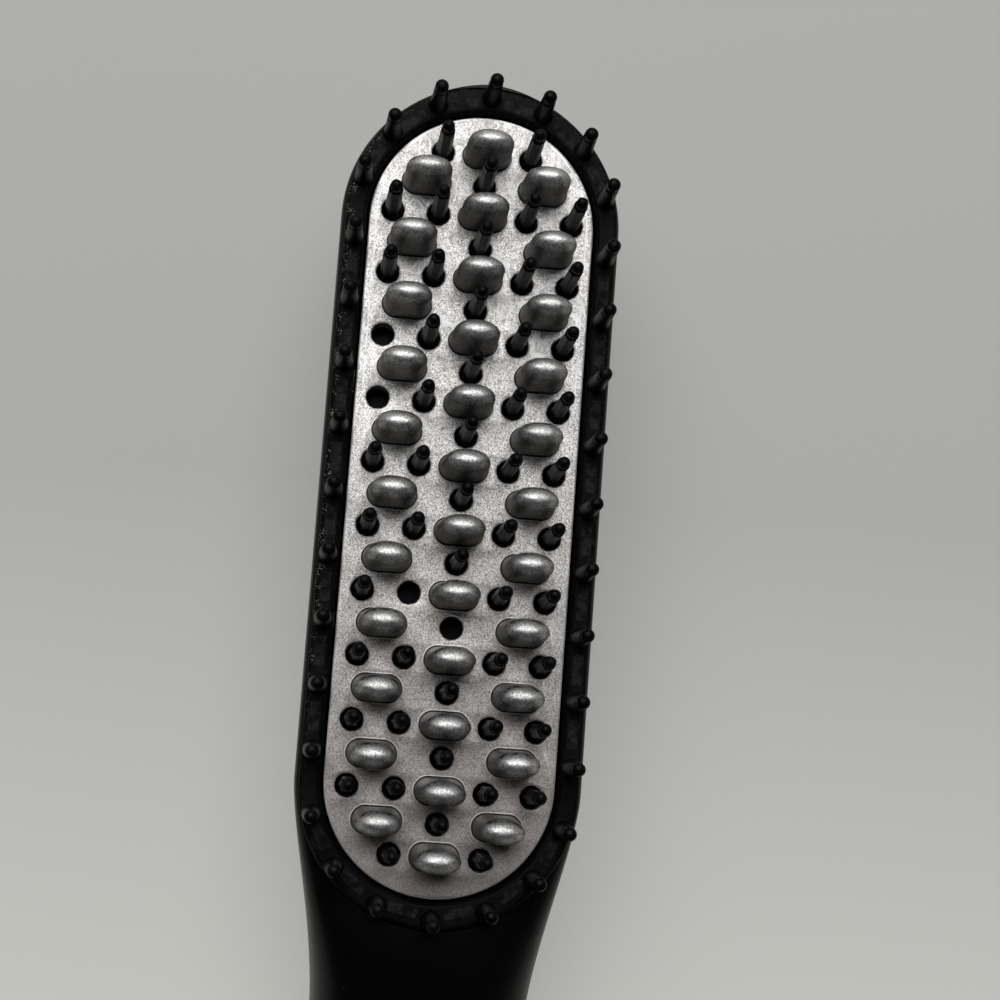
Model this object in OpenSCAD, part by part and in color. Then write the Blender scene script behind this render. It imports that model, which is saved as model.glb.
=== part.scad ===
/* [Overall] */
// Length from the tip of the head to the end of the cord gland
total_len = 250; // [240:1:265]
// Length that the cord gland stands out of the handle
gland_out = 10; // [6:0.5:14]
// Height of the heated face above the surface that the back lies on
face_h = 30; // [29.5:0.1:33]
// Thickness of the two plastic shells
wall = 2; // [1.6:0.1:2.2]
// Height at which the front and back shells meet
split_h = 15; // [14:0.1:15.4]

/* [Head] */
// Width of the head
head_w = 40; // [39.6:0.1:42]
// Length of the head over its round ends
head_len = 120; // [119.2:0.1:125]
// Edge of the shell that shows outside the comb rim
shell_lip = 0.6; // [0.4:0.1:0.8]
// Width of the comb rim's top
rim_w = 3; // [2.8:0.1:3.4]
// Extra width of the comb rim at each round end
end_wide = 0.8; // [0.5:0.1:1]
// Gap between the comb rim and the heated face
rim_gap = 0.4; // [0.2:0.1:0.6]
// Height of the comb rim's top above the heated face
rim_rise = 0.8; // [0.4:0.1:1.4]
// Depth of the rim's flange that covers the edge of the shell
flange_t = 2; // [1.6:0.1:2.4]
// Width of the shelf inside the rim that carries the heated stack
shelf_in = 1.8; // [1.4:0.1:2]
// Thickness of that shelf
shelf_t = 2; // [1.6:0.1:2.4]

/* [Heated stack] */
// Thickness of the coated face plate
plate_t = 0.8; // [0.6:0.1:1]
// Thickness of the heat spreader under it
spreader_t = 2; // [1.6:0.1:2.4]
// Thickness of the heater film
film_t = 0.4; // [0.3:0.05:0.5]
// Thickness of the insulation sheet
felt_t = 1.2; // [1:0.1:1.5]
// Thickness of the pin board
board_t = 2; // [1.8:0.1:2.4]
// Distance between neighbouring rows along the head
row_pitch = 4.5; // [4.45:0.01:4.55]
// Diameter of the holes for the pins in the face plate
hole_d = 3.2; // [3:0.05:3.4]
// Place of the inner pin columns from the middle
inner_col = 6.29; // [6:0.01:6.5]
// Place of the outer pin columns from the middle
outer_col = 12.78; // [12.6:0.01:13]
// Place of the side bumps from the middle
side_col = 9.73; // [9.5:0.01:9.9]
// Place of the side bumps in the first and last rows that have them
end_col = 8.3; // [8:0.01:8.6]

/* [Bumps] */
// Width of a bump's opening in the face plate
bump_w = 7; // [6.8:0.05:7.2]
// Depth of that opening along the head
bump_d = 4.1; // [3.9:0.05:4.2]
// Gap round a bump in its opening
bump_gap = 0.1; // [0.05:0.01:0.15]
// Height of a bump above the heated face
bump_h = 9.7; // [8:0.1:10.5]
// Half width of a bump where its rounded crown begins
crown_r = 1.8; // [1.6:0.05:1.9]
// Height of that rounded crown
crown_rise = 3; // [1.6:0.1:3.6]

/* [Pins] */
// Height of an inner pin above the heated face
pin_h = 12.2; // [11:0.1:13]
// Height of a rim pin above the top of the rim
rim_pin_h = 9; // [8:0.1:11]
// Diameter of a pin where it passes the heated face
pin_root_d = 2.5; // [2.4:0.05:2.8]
// Diameter of a pin at the shoulder under its tip
pin_neck_d = 2; // [1.8:0.05:2.1]
// Diameter of an inner pin's rounded tip
pin_tip_d = 1.65; // [1.6:0.05:1.9]
// Diameter of a rim pin's rounded tip
rim_tip_d = 1.9; // [1.6:0.05:1.9]
// Length of the rounded tip
pin_tip_l = 2.1; // [1.8:0.1:2.4]
// Distance between the rim pins on the straight sides
rim_pin_pitch = 9; // [8.9:0.05:9.1]
// Angle between the rim pins on the round ends
rim_pin_angle = 25; // [22:0.5:26]

/* [Handle] */
// Width of the handle
handle_w = 30.4; // [30:0.1:33]
// Height of the handle
handle_h = 28; // [28:0.1:28.6]
// Length over which the head narrows into the handle
neck_len = 35; // [32:0.5:40]
// Extra width at the middle of the grip
grip_swell = 1.2; // [0:0.1:2]
// Length of the rounded end of the handle
butt_len = 14; // [12:0.5:16]

/* [Controls] */
// Length of the control panel
panel_len = 66; // [64:0.5:70]
// Width of the control panel
panel_w = 14; // [13:0.5:14.5]
// Distance from the rounded end of the handle to the far end of the panel
panel_end = 15.6; // [14:0.1:20]
// Diameter of each button
button_d = 8.2; // [7.4:0.1:8.6]
// Distance between neighbouring buttons
button_pitch = 12; // [11:0.1:13]
// Travel of each button
button_travel = 0.5; // [0.3:0.05:0.6]
// Length of the display window
window_len = 17; // [15:0.5:18]
// Width of the display window
window_w = 10; // [9.5:0.1:10.5]

/* [Electronics] */
// Depth of the control board's top face under the top of the handle
pcb_depth = 10; // [9.6:0.1:10.4]
// Thickness of the control board
pcb_t = 1.6; // [1.2:0.1:1.8]
// Width of the control board
pcb_w = 14.6; // [14:0.1:14.8]
// Length of the control board
pcb_len = 88; // [86:0.5:90]

/* [Cord gland] */
// Diameter of the bore that the cord passes through
cord_bore_d = 6.6; // [5.5:0.1:7]
// Outer diameter of the gland's neck
gland_d = 10; // [9.6:0.1:10.6]
// Running clearance round the neck
gland_fit = 0.05; // [0.02:0.01:0.1]
// Diameter of the gland's flange
gland_flange_d = 13.6; // [13:0.1:14]
// Thickness of the flange
gland_flange_t = 2.4; // [2:0.1:2.8]
// Outer diameter of the swivel collar
collar_d = 15; // [14.6:0.1:15.6]
// Length of the swivel collar
collar_len = 8; // [7:0.1:9]

/* [Hidden] */

round_fn = 48;
tiny = 0.01;
slack = 0.3;
far = 200;

// Where the main stations lie along the brush
tip_y = total_len / 2;
butt_y = gland_out - total_len / 2;
head_y = tip_y - head_len / 2;
head_r = head_w / 2;
straight = head_len - head_w;
face_straight = straight - 2 * end_wide;
head_end_y = tip_y - head_len;
neck_y = head_y - straight / 2;
grip_y = neck_y - neck_len;
dome_y = butt_y + butt_len;
axis_h = handle_h / 2;

// Radii of the stadium shapes in the head, counted from the middle line
rim_r = head_r - shell_lip;
rim_in_r = rim_r - rim_w;
plate_r = rim_in_r - rim_gap;
pin_line_r = (rim_r + rim_in_r) / 2;
open_r = head_r - wall + slack;
web_r = open_r - 0.2;
shelf_r = rim_in_r - shelf_in;
board_r = plate_r + rim_gap / 2;

// Levels of the heated stack
plate_low = face_h - plate_t;
spreader_low = plate_low - spreader_t;
film_low = spreader_low - film_t;
felt_low = film_low - felt_t;
board_low = felt_low - board_t;
shelf_low = board_low - shelf_t;
rim_top = face_h + rim_rise;
flange_low = rim_top - flange_t;
lead_room = 3.6;
pcb_top = min(handle_h - pcb_depth, shelf_low - lead_room);

// Outline of the outer shell
head_top = face_h + 0.4;
head_wide_h = face_h - 6;
base_dip = 0.35;
belly_len = 30;
belly_min = 0.14;
butt_scale = 0.62;
head_top_power = 8;
handle_top_power = 3;
low_power = 2.4;
top_fall_len = 30;
tip_angle = 87;
outer_points = 40;
inner_points = 28;

function clamp01(u) = min(1, max(0, u));
function ease(u) = let (v = clamp01(u)) v * v * (3 - 2 * v);
function mix(a, b, u) = a + (b - a) * u;
function neck_mix(y) = ease(pow(clamp01((neck_y - y) / neck_len), 0.8));
function top_mix(y) = ease((head_end_y - y) / top_fall_len);
function swell(y) = let (u = clamp01((grip_y - y) / (grip_y - dome_y)))
    grip_swell / 2 * pow(sin(180 * u), 2);
function side_w(y, inset) = y > head_y + straight / 2
    ? sqrt(max(tiny, pow(head_r - inset, 2) - pow(y - head_y - straight / 2, 2)))
    : mix(head_r, handle_w / 2, neck_mix(y)) + swell(y) - inset;
function butt_k(y, inset) = let (u = clamp01((dome_y - y) / (butt_len - inset)))
    butt_scale + (1 - butt_scale) * sqrt(max(0, 1 - u * u));
function belly_k(y, inset) = let (u = clamp01((y - tip_y + belly_len) / (belly_len - inset)))
    sqrt(max(belly_min * belly_min, 1 - u * u));
function wide_h(y) = mix(head_wide_h, axis_h, neck_mix(y));
function top_h(y, inset) = mix(head_top, handle_h, top_mix(y)) - inset;

function edge(c, power) = sign(c) * pow(abs(c), 2 / power);
function section_point(y, inset, angle) = let (
    k = butt_k(y, inset),
    c = wide_h(y),
    up = sin(angle) >= 0,
    power = up ? mix(head_top_power, handle_top_power, neck_mix(y)) : low_power,
    reach = up ? top_h(y, inset) - c : (c + base_dip - inset) * belly_k(y, inset))
    [side_w(y, inset) * k * edge(cos(angle), power), y, c + reach * k * edge(sin(angle), power)];

function stations(inset) = concat(
    [for (i = [0:8]) neck_y + straight + (head_r - inset) * sin(tip_angle * (1 - i / 8))],
    [for (i = [1:6]) neck_y + straight * (1 - i / 6)],
    [for (i = [1:10]) neck_y - neck_len * i / 10],
    [for (i = [1:5]) mix(grip_y, dome_y, i / 5)],
    [for (i = [1:6]) dome_y - (butt_len - inset) * sin(15 * i)]);

// Closed body of the brush's outer form, drawn in by an inset
module form(inset, count) {
    ys = stations(inset);
    last = len(ys) - 1;
    points = [for (y = ys, i = [0:count - 1]) section_point(y, inset, 360 * i / count)];
    sides = [for (s = [0:last - 1], i = [0:count - 1]) let (
        a = s * count + i, b = s * count + (i + 1) % count)
        each [[a, a + count, b], [b, a + count, b + count]]];
    polyhedron(points, concat(sides, [[for (i = [0:count - 1]) i]],
        [[for (i = [count - 1:-1:0]) last * count + i]]));
}

module stadium(r, length) {
    square([2 * r, length], center = true);
    for (s = [-1, 1]) translate([0, s * length / 2]) circle(r, $fn = 96);
}

// Solid stadium between two levels, on the head's middle
module slab(r, low, high, length = straight) {
    translate([0, head_y, low]) linear_extrude(high - low) stadium(r, length);
}

// The same with the shorter sides of the heated face
module face_slab(r, low, high) {
    slab(r, low, high, face_straight);
}

// Profile of radius and height, carried once round a stadium on the head's middle
module stadium_ring(length) {
    translate([0, head_y, 0]) {
        for (s = [0, 180]) rotate([0, 0, s]) {
            rotate([90, 0, 0]) linear_extrude(length, center = true) children();
            translate([0, length / 2, 0]) rotate_extrude(angle = 180, $fn = 96) children();
        }
    }
}

module rod(r, low, high) {
    translate([0, 0, low]) cylinder(r = r, h = high - low, $fn = round_fn);
}

// Rows of pins and bumps, counted from the tip end
row_margin = 4.2;
middle_row = floor((face_straight / 2 + plate_r - row_margin) / row_pitch);
rows = 2 * middle_row + 1;
bump_pairs_moved = [1, rows - 2];
missing = [[6, -2], [8, -2], [14, -1], [15, 0]];
function row_y(row) = head_y + (middle_row - row) * row_pitch;
function col_x(col) = sign(col) * (abs(col) == 2 ? outer_col : abs(col) == 1 ? inner_col : 0);
function cols(row) = row % 2 == 1 ? [0] : row >= 2 && row <= rows - 3 ? [-2, -1, 1, 2] : [-1, 1];
function is_end_row(row) = len(search(row, bump_pairs_moved)) > 0;
hole_keys = [for (row = [0:rows - 1], col = cols(row)) [row, col]];
pin_keys = [for (key = hole_keys) if (len([for (m = missing) if (m == key) m]) == 0) key];
bump_spots = [for (row = [0:rows - 1]) each row % 2 == 0 ? [[0, row_y(row)]]
    : let (x = is_end_row(row) ? end_col : side_col) [[-x, row_y(row)], [x, row_y(row)]]];

module at_holes(keys = hole_keys) {
    for (key = keys) translate([col_x(key[1]), row_y(key[0]), 0]) children();
}

module at_bumps() {
    for (spot = bump_spots) translate([spot[0], spot[1], 0]) children();
}

module pill(w, d) {
    square([w - d, d], center = true);
    for (s = [-1, 1]) translate([s * (w - d) / 2, 0]) circle(d / 2, $fn = round_fn);
}

// Screws that hold the stack go up into the bumps of these rows
plate_screw_rows = [2, 8, rows - 9, rows - 3];
screw_r = 1;
pilot_r = 1.05;
pass_r = 1.3;
screw_head_r = 2;
screw_head_t = 1.6;

module screw(r, head_r, head_low, head_high, end) {
    difference() {
        union() {
            rod(head_r, head_low, head_high);
            rod(r, head_high, end);
        }
        for (a = [0, 90]) rotate([0, 0, a])
            translate([-head_r * 0.6, -0.25, head_low - 1]) cube([head_r * 1.2, 0.5, 1.7]);
    }
}

module at_plate_screws() {
    for (row = plate_screw_rows) translate([0, row_y(row), 0]) children();
}

// Swivel gland in the end of the handle
collar_in_y = butt_y + collar_len;
gland_play = 0.3;
flange_out_y = collar_in_y + gland_play;
flange_in_y = flange_out_y + gland_flange_t;
bulkhead_y = flange_in_y + gland_play;
bulkhead_t = 1.5;
bulkhead_bore_r = cord_bore_d / 2 + 0.8;
gland_end_y = -total_len / 2;

// Bosses that join the two shells, with a rib out to the wall
boss_r = 3.2;
boss_x = 11.5;
boss_top = shelf_low - 1.2;
rib_t = 1.8;
grip_boss_r = 2.6;
grip_boss_x = pcb_w / 2 + slack + grip_boss_r;
grip_boss_gap = 16;
grip_boss_y = bulkhead_y + grip_boss_gap;
grip_boss_top = split_h + 5;
boss_y = face_straight / 2 - 3;
function boss_spots() = concat(
    [for (s = [-1, 1], e = [-1, 1]) [s * boss_x, head_y + e * boss_y, boss_r, boss_top]],
    [for (s = [-1, 1]) [s * grip_boss_x, grip_boss_y, grip_boss_r, grip_boss_top]]);
seat_up = 3.4;
head_clear = 0.3;
function floor_h(x, y) = let (c = wide_h(y))
    c - (c + base_dip) * pow(1 - pow(abs(x) / side_w(y, 0), low_power), 1 / low_power);
function seat_h(spot) = floor_h(spot[0], spot[1]) + seat_up;

module at_bosses() {
    for (spot = boss_spots()) translate([spot[0], spot[1], 0]) children();
}

// Ribs from the bosses out to the side walls
module boss_ribs() {
    for (spot = boss_spots()) {
        reach = side_w(spot[1], 0) - wall / 2 - abs(spot[0]);
        translate([spot[0] + sign(spot[0]) * reach / 2, spot[1], (split_h + spot[3]) / 2])
            cube([reach, rib_t, spot[3] - split_h], center = true);
    }
}

// Lugs that hold the comb rim down
lug_y = 18;
lug_r = 3.4;
lug_x = open_r - 3.1;
lug_t = 1.5;
lug_high = split_h + lug_t;
rim_boss_r = 2.3;
module at_lugs() {
    for (s = [-1, 1], e = [-1, 1]) translate([s * lug_x, head_y + e * lug_y, 0]) children();
}

// Control panel, window and buttons
panel_y = dome_y + panel_end + panel_len / 2;
panel_top = handle_h - 0.4;
panel_low = panel_top - 1.9;
floor_t = 1.5;
panel_floor = panel_low - floor_t;
panel_near = panel_y + panel_len / 2;
window_y = panel_near - 4 - window_len / 2;
button_clear = 0.2;
button_top = panel_top + 0.6;
button_y = [for (i = [0:2]) window_y - window_len / 2 - 4 - button_d / 2 - i * button_pitch];
flange_top = panel_floor - 0.3;
button_flange_t = 1.2;
flange_bottom = flange_top - button_flange_t;
button_flange_r = button_d / 2 + 1.1;

module panel_outline(grow = 0) {
    translate([0, panel_y]) rotate([0, 0, 90]) pill(panel_len + 2 * grow, panel_w + 2 * grow);
}

module window_outline(grow) {
    translate([0, window_y]) square([window_w + 2 * grow, window_len + 2 * grow], center = true);
}

module at_button(i) {
    translate([0, button_y[i], 0]) children();
}

// Control board and what stands on it
pcb_y = panel_y;
pcb_low = pcb_top - pcb_t;
pcb_near = pcb_y + pcb_len / 2;
pcb_far = pcb_y - pcb_len / 2;
post_r = 2.4;
post_from_near = 11.5;
post_from_far = 4;
post_spots = [[pcb_w / 2 - post_r, pcb_near - post_from_near], [0, pcb_far + post_from_far]];
switch_w = 6;
switch_top = pcb_top + 3.4;
plunger_r = 1.7;
plunger_fit = 0.08;
plunger_low = pcb_top + 1.9;

module at_posts() {
    for (spot = post_spots) translate([spot[0], spot[1], 0]) children();
}

// Rod along the handle's middle line
module long_rod(r, from_y, to_y) {
    translate([0, to_y, axis_h]) rotate([90, 0, 0]) cylinder(r = r, h = to_y - from_y, $fn = round_fn);
}

module slice(from_y, to_y, low, high) {
    translate([-far / 2, from_y, low]) cube([far, to_y - from_y, high - low]);
}

// What is hollow in the shells, before the bosses are left standing in it
module hollow() {
    difference() {
        form(wall, inner_points);
        slice(bulkhead_y, bulkhead_y + bulkhead_t, -far, far);
        slice(-far, collar_in_y, -far, far);
    }
}

module gland_seat() {
    long_rod(bulkhead_bore_r, bulkhead_y - 1, bulkhead_y + bulkhead_t + 1);
    long_rod(gland_flange_d / 2 + slack, collar_in_y - tiny, bulkhead_y);
    long_rod(collar_d / 2 + 0.03, butt_y + 1.5, collar_in_y);
    long_rod(gland_d / 2 + slack, butt_y - 1, butt_y + 2);
}

module back_shell() color("#151515") difference() {
    intersection() {
        form(0, outer_points);
        translate([-far / 2, -far, 0]) cube([far, 2 * far, split_h]);
    }
    difference() {
        hollow();
        for (spot = boss_spots()) translate([spot[0], spot[1], 0]) rod(spot[2], -1, split_h + 1);
    }
    for (spot = boss_spots()) translate([spot[0], spot[1], 0]) {
        rod(screw_head_r + head_clear, -1, seat_h(spot));
        rod(pass_r, -1, split_h + 1);
    }
    at_lugs() rod(screw_head_r + head_clear, split_h - screw_head_t - head_clear, split_h + 1);
    gland_seat();
}

// Round the tip the well stops above the seam, where the belly curves in under the head
well_low = shelf_low - 2;

module front_shell() color("#151515") difference() {
    intersection() {
        form(0, outer_points);
        translate([-far / 2, -far, split_h]) cube([far, 2 * far, far]);
    }
    difference() {
        union() {
            hollow();
            slab(open_r, well_low, far);
            intersection() {
                slab(open_r, split_h - 1, far);
                slice(-far, head_y + straight / 2, -far, far);
            }
        }
        for (spot = boss_spots()) translate([spot[0], spot[1], 0]) rod(spot[2], split_h - 2, spot[3]);
        boss_ribs();
        at_lugs() rod(lug_r, split_h - 2, lug_high);
        at_posts() rod(post_r, pcb_top, handle_h);
        translate([0, 0, panel_floor]) linear_extrude(far) panel_outline(1.2);
    }
    slab(rim_r + 0.1, flange_low, far);
    for (spot = boss_spots()) translate([spot[0], spot[1], 0]) rod(pilot_r, split_h - 1, spot[3] - 1);
    at_lugs() rod(pass_r, split_h - 1, lug_high + 1);
    at_posts() rod(pilot_r, pcb_top - 1, pcb_top + 5);
    translate([0, 0, panel_low]) linear_extrude(far) panel_outline(0.1);
    translate([0, 0, panel_floor - 1]) linear_extrude(far) window_outline(-0.7);
    for (i = [0:2]) at_button(i) rod(button_d / 2 + button_clear, panel_floor - 1, far);
    gland_seat();
}

// Turned profile of a pin from its root to its rounded tip
module pin(root_d, tip_d, low, top) {
    shoulder = top - pin_tip_l - 0.25;
    tip_r = tip_d / 2;
    rotate_extrude($fn = round_fn) polygon([[0, low], [root_d / 2, low],
        [pin_neck_d / 2, shoulder], [tip_r - 0.1, shoulder + 0.25], [tip_r, shoulder + 0.7],
        [tip_r, top - 0.75], [tip_r * 0.85, top - 0.35], [tip_r * 0.5, top - 0.08], [0, top]]);
}

rim_round = 0.7;
pin_foot_d = 2.9;
pin_foot_h = 0.8;
rim_pins_side = floor(straight / 2 / rim_pin_pitch);
rim_pins_end = floor(80 / rim_pin_angle);

module rim_pin() {
    pin(pin_root_d, rim_tip_d, rim_top - 0.5, rim_top + rim_pin_h);
    rotate_extrude($fn = round_fn) polygon([[0, rim_top - 0.5], [pin_foot_d / 2, rim_top - 0.5],
        [pin_foot_d / 2, rim_top - 0.1], [pin_foot_d / 2 - 0.1, rim_top + 0.2],
        [pin_root_d / 2 - 0.05, rim_top + pin_foot_h], [0, rim_top + pin_foot_h]]);
}

module comb_rim() color("#1c1c1e") {
    difference() {
        union() {
            stadium_ring(straight) polygon([[0, flange_low], [rim_r, flange_low],
                [rim_r, rim_top - rim_round], [rim_r - 0.2, rim_top - 0.2],
                [rim_r - rim_round, rim_top], [0, rim_top]]);
            slab(web_r, shelf_low, rim_top - 1);
            at_lugs() rod(rim_boss_r, lug_high, shelf_low + 1);
        }
        face_slab(shelf_r, shelf_low - 1, far);
        face_slab(rim_in_r, shelf_low + shelf_t, far);
        stadium_ring(face_straight) polygon([[rim_in_r - 1, rim_top - 0.4],
            [rim_in_r - 0.1, rim_top - 0.4], [rim_in_r + 0.4, rim_top + 0.1], [rim_in_r - 1, rim_top + 0.1]]);
        at_lugs() rod(pilot_r, lug_high - 1, shelf_low + 1);
    }
    for (s = [-1, 1], i = [-rim_pins_side:rim_pins_side])
        translate([s * pin_line_r, head_y + i * rim_pin_pitch, 0]) rim_pin();
    for (s = [-1, 1], i = [-rim_pins_end:rim_pins_end])
        translate([0, head_y + s * straight / 2, 0]) rotate([0, 0, i * rim_pin_angle])
            translate([0, s * pin_line_r, 0]) rim_pin();
}

module face_plate() color("#b9b6b2") {
    translate([0, 0, plate_low]) linear_extrude(plate_t) difference() {
        translate([0, head_y]) stadium(plate_r, face_straight);
        at_holes() circle(hole_d / 2, $fn = round_fn);
        at_bumps() pill(bump_w, bump_d);
    }
}

dome_steps = 5;
function bump_profile() = let (root = bump_d / 2 - bump_gap)
    concat([[0, spreader_low + spreader_t / 2], [root, spreader_low + spreader_t / 2], [root, face_h]],
        [for (i = [0:dome_steps]) let (a = 90 * i / dome_steps)
            [crown_r * cos(a), face_h + bump_h - crown_rise * (1 - sin(a))]]);

// Drafted pill with a rounded crown, from two turned ends and a bar
module bump() {
    reach = (bump_w - bump_d) / 2;
    for (s = [0, 180]) rotate([0, 0, s]) translate([reach, 0, 0]) rotate([0, 0, -90])
        rotate_extrude(angle = 180, $fn = round_fn) polygon(bump_profile());
    rotate([90, 0, 90]) linear_extrude(2 * reach, center = true) {
        polygon(bump_profile());
        mirror([1, 0]) polygon(bump_profile());
    }
}

module heat_spreader() color("#9a9a9a") difference() {
    union() {
        face_slab(plate_r - 0.2, spreader_low, plate_low);
        at_bumps() bump();
    }
    at_holes() rod(hole_d / 2 + 0.1, spreader_low - 1, plate_low + 1);
    at_plate_screws() rod(pilot_r, spreader_low - 1, face_h + 3);
}

module heater_film() color("#b5651d") difference() {
    face_slab(plate_r - 0.5, film_low, spreader_low);
    at_holes() rod(hole_d / 2 + 0.5, film_low - 1, spreader_low + 1);
    at_plate_screws() rod(pass_r, film_low - 1, spreader_low + 1);
}

lead_x = 2.5;
lead_inset = 2.6;
lead_y = head_y - face_straight / 2 - plate_r + lead_inset;
lead_r = 0.9;
sensor_row = 10;
sensor_r = 1.2;

module insulation_sheet() color("#d8d2c0") difference() {
    face_slab(plate_r - 0.3, felt_low, film_low);
    at_holes() rod(hole_d / 2 + 0.3, felt_low - 1, film_low + 1);
    at_plate_screws() rod(pass_r, felt_low - 1, film_low + 1);
    translate([0, row_y(sensor_row), 0]) rod(sensor_r + 0.2, felt_low - 1, film_low + 1);
    for (s = [-1, 1]) translate([s * lead_x, lead_y, 0]) rod(lead_r + 0.2, felt_low - 1, film_low + 1);
}

fuse_row = rows - 6;
fuse_r = 1.9;
fuse_len = 9;
fuse_x = 3.2;

module pin_board() color("#1a1a1c") {
    difference() {
        face_slab(board_r, board_low, felt_low);
        at_plate_screws() rod(pass_r, board_low - 1, felt_low + 1);
        translate([0, row_y(sensor_row), 0]) rod(sensor_r + 0.2, board_low - 1, felt_low + 1);
        for (s = [-1, 1]) translate([s * lead_x, lead_y, 0])
            rod(lead_r + 0.2, board_low - 1, felt_low + 1);
    }
    for (s = [-1, 1])
        translate([fuse_x + s * (fuse_r + 0.65) - 0.5, row_y(fuse_row) - fuse_len / 2, board_low - 3])
            cube([1, fuse_len, 3 + tiny]);
    at_holes(pin_keys) pin(pin_root_d + 0.1, pin_tip_d, felt_low - 0.5, face_h + pin_h);
}

module plate_screws() color("#b0b0b0") {
    at_plate_screws() screw(screw_r, screw_head_r, board_low - screw_head_t, board_low, face_h + 2);
}

module rim_screws() color("#b0b0b0") {
    at_lugs() screw(screw_r, screw_head_r, split_h - screw_head_t, split_h, shelf_low);
}

module shell_screws() color("#b0b0b0") {
    for (spot = boss_spots()) translate([spot[0], spot[1], 0])
        screw(screw_r, screw_head_r, seat_h(spot) - screw_head_t, seat_h(spot), spot[3] - 1.5);
}

module board_screws() color("#b0b0b0") {
    at_posts() screw(screw_r, screw_head_r, pcb_low - screw_head_t, pcb_low, pcb_top + 4.5);
}

module control_board() color("#1d5c33") difference() {
    translate([-pcb_w / 2, pcb_far, pcb_low]) cube([pcb_w, pcb_len, pcb_t]);
    at_posts() rod(pass_r, pcb_low - 1, pcb_top + 1);
}

module switch_bodies() color("#2a2a2a") {
    for (i = [0:2]) at_button(i) difference() {
        translate([-switch_w / 2, -switch_w / 2, pcb_top]) cube([switch_w, switch_w, switch_top - pcb_top]);
        rod(plunger_r + plunger_fit, plunger_low - button_travel - 0.4, switch_top + 1);
    }
}

// Cap with its retaining flange; the children are cut into the cap's top
module button() {
    difference() {
        union() {
            rod(button_flange_r, flange_bottom, flange_top);
            rod(button_d / 2, flange_top - tiny, button_top - 0.3);
            translate([0, 0, button_top - 0.3])
                cylinder(r1 = button_d / 2, r2 = button_d / 2 - 0.3, h = 0.3, $fn = round_fn);
        }
        translate([0, 0, button_top - 0.25]) linear_extrude(1) children();
    }
}

mark = 3.2;
mark_t = 0.5;

module power_button() color("#3a3a3c") at_button(2) button() {
    translate([0, mark / 2]) square([mark_t, mark / 2], center = true);
    difference() {
        circle(mark / 2, $fn = round_fn);
        circle(mark / 2 - mark_t, $fn = round_fn);
        translate([0, mark / 2]) square([mark * 0.55, mark], center = true);
    }
}

module plus_button() color("#3a3a3c") at_button(0) button() {
    for (a = [0, 90]) rotate([0, 0, a]) square([mark, mark_t], center = true);
}

module minus_button() color("#3a3a3c") at_button(1) button() square([mark, mark_t], center = true);

module plunger(i) {
    at_button(i) rod(plunger_r, plunger_low, flange_bottom);
}

module power_plunger() color("#8a1f1f") plunger(2);

module plus_plunger() color("#8a1f1f") plunger(0);

module minus_plunger() color("#8a1f1f") plunger(1);

module control_panel() color("#0c0c0e") translate([0, 0, panel_low]) linear_extrude(panel_top - panel_low)
    difference() {
        panel_outline();
        window_outline(0.05);
        for (i = [0:2]) at_button(i) circle(button_d / 2 + button_clear, $fn = round_fn);
    }

module display_window() color("#20242c") translate([0, 0, panel_low]) linear_extrude(panel_top - panel_low)
    window_outline(0);

module display_module() color("#303030") {
    translate([0, 0, pcb_top]) linear_extrude(panel_floor - 0.2 - pcb_top) window_outline(0.8);
    translate([0, 0, panel_floor - 0.3]) linear_extrude(floor_t) window_outline(-0.9);
}

module controller_chip() color("#202020") {
    chip = [4, 5, 1.5];
    translate([-chip[0] / 2, button_y[2] - 8 - chip[1], pcb_top]) cube(chip);
}

module triac() color("#202020") {
    body = [6.2, 6.5, 2.4];
    translate([0.4 - pcb_w / 2, pcb_near - 4 - body[1], pcb_top]) cube(body);
}

film_cap_from_far = 18;
module film_capacitor() color("#c9a227") {
    box = [8, 13, 9];
    translate([-box[0] / 2, pcb_far + film_cap_from_far, pcb_low - box[2]]) cube(box);
}

cap_r = 4;
cap_l = 12;
cap_from_near = 26;
module smoothing_capacitor() color("#23305e") {
    translate([0, pcb_near - cap_from_near, pcb_low - cap_r]) rotate([90, 0, 0])
        cylinder(r = cap_r, h = cap_l, $fn = round_fn);
}

module thermistor() color("#7a5a2a") translate([0, row_y(sensor_row), 0])
    rod(sensor_r, board_low - 0.6, film_low);

module thermal_fuse() color("#d0c8b0")
    translate([fuse_x, row_y(fuse_row) + fuse_len / 2, board_low - fuse_r])
        rotate([90, 0, 0]) cylinder(r = fuse_r, h = fuse_len, $fn = round_fn);

// Round wire through a list of corners, with a slightly larger ball at each inner corner
bend_extra = 0.1;
module wire(points, r) {
    for (i = [0:len(points) - 2]) {
        step = points[i + 1] - points[i];
        turn = atan2(norm([step[0], step[1]]), step[2]);
        translate(points[i]) rotate([0, turn, atan2(step[1], step[0])])
            cylinder(r = r, h = norm(step), $fn = 24);
    }
    for (i = [1:len(points) - 2]) translate(points[i]) sphere(r + bend_extra, $fn = 24);
}

lead_h = shelf_low - 1.3;
lead_end_y = pcb_near - 1.4;
module heater_leads() color("#c8c8c8") {
    for (s = [0, 1]) wire([[(s * 2 - 1) * lead_x, lead_y, film_low],
        [(s * 2 - 1) * lead_x, lead_y, lead_h],
        [s * 4.2 - 0.6, lead_end_y, lead_h], [s * 4.2 - 0.6, lead_end_y, pcb_top]], lead_r);
}

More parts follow.
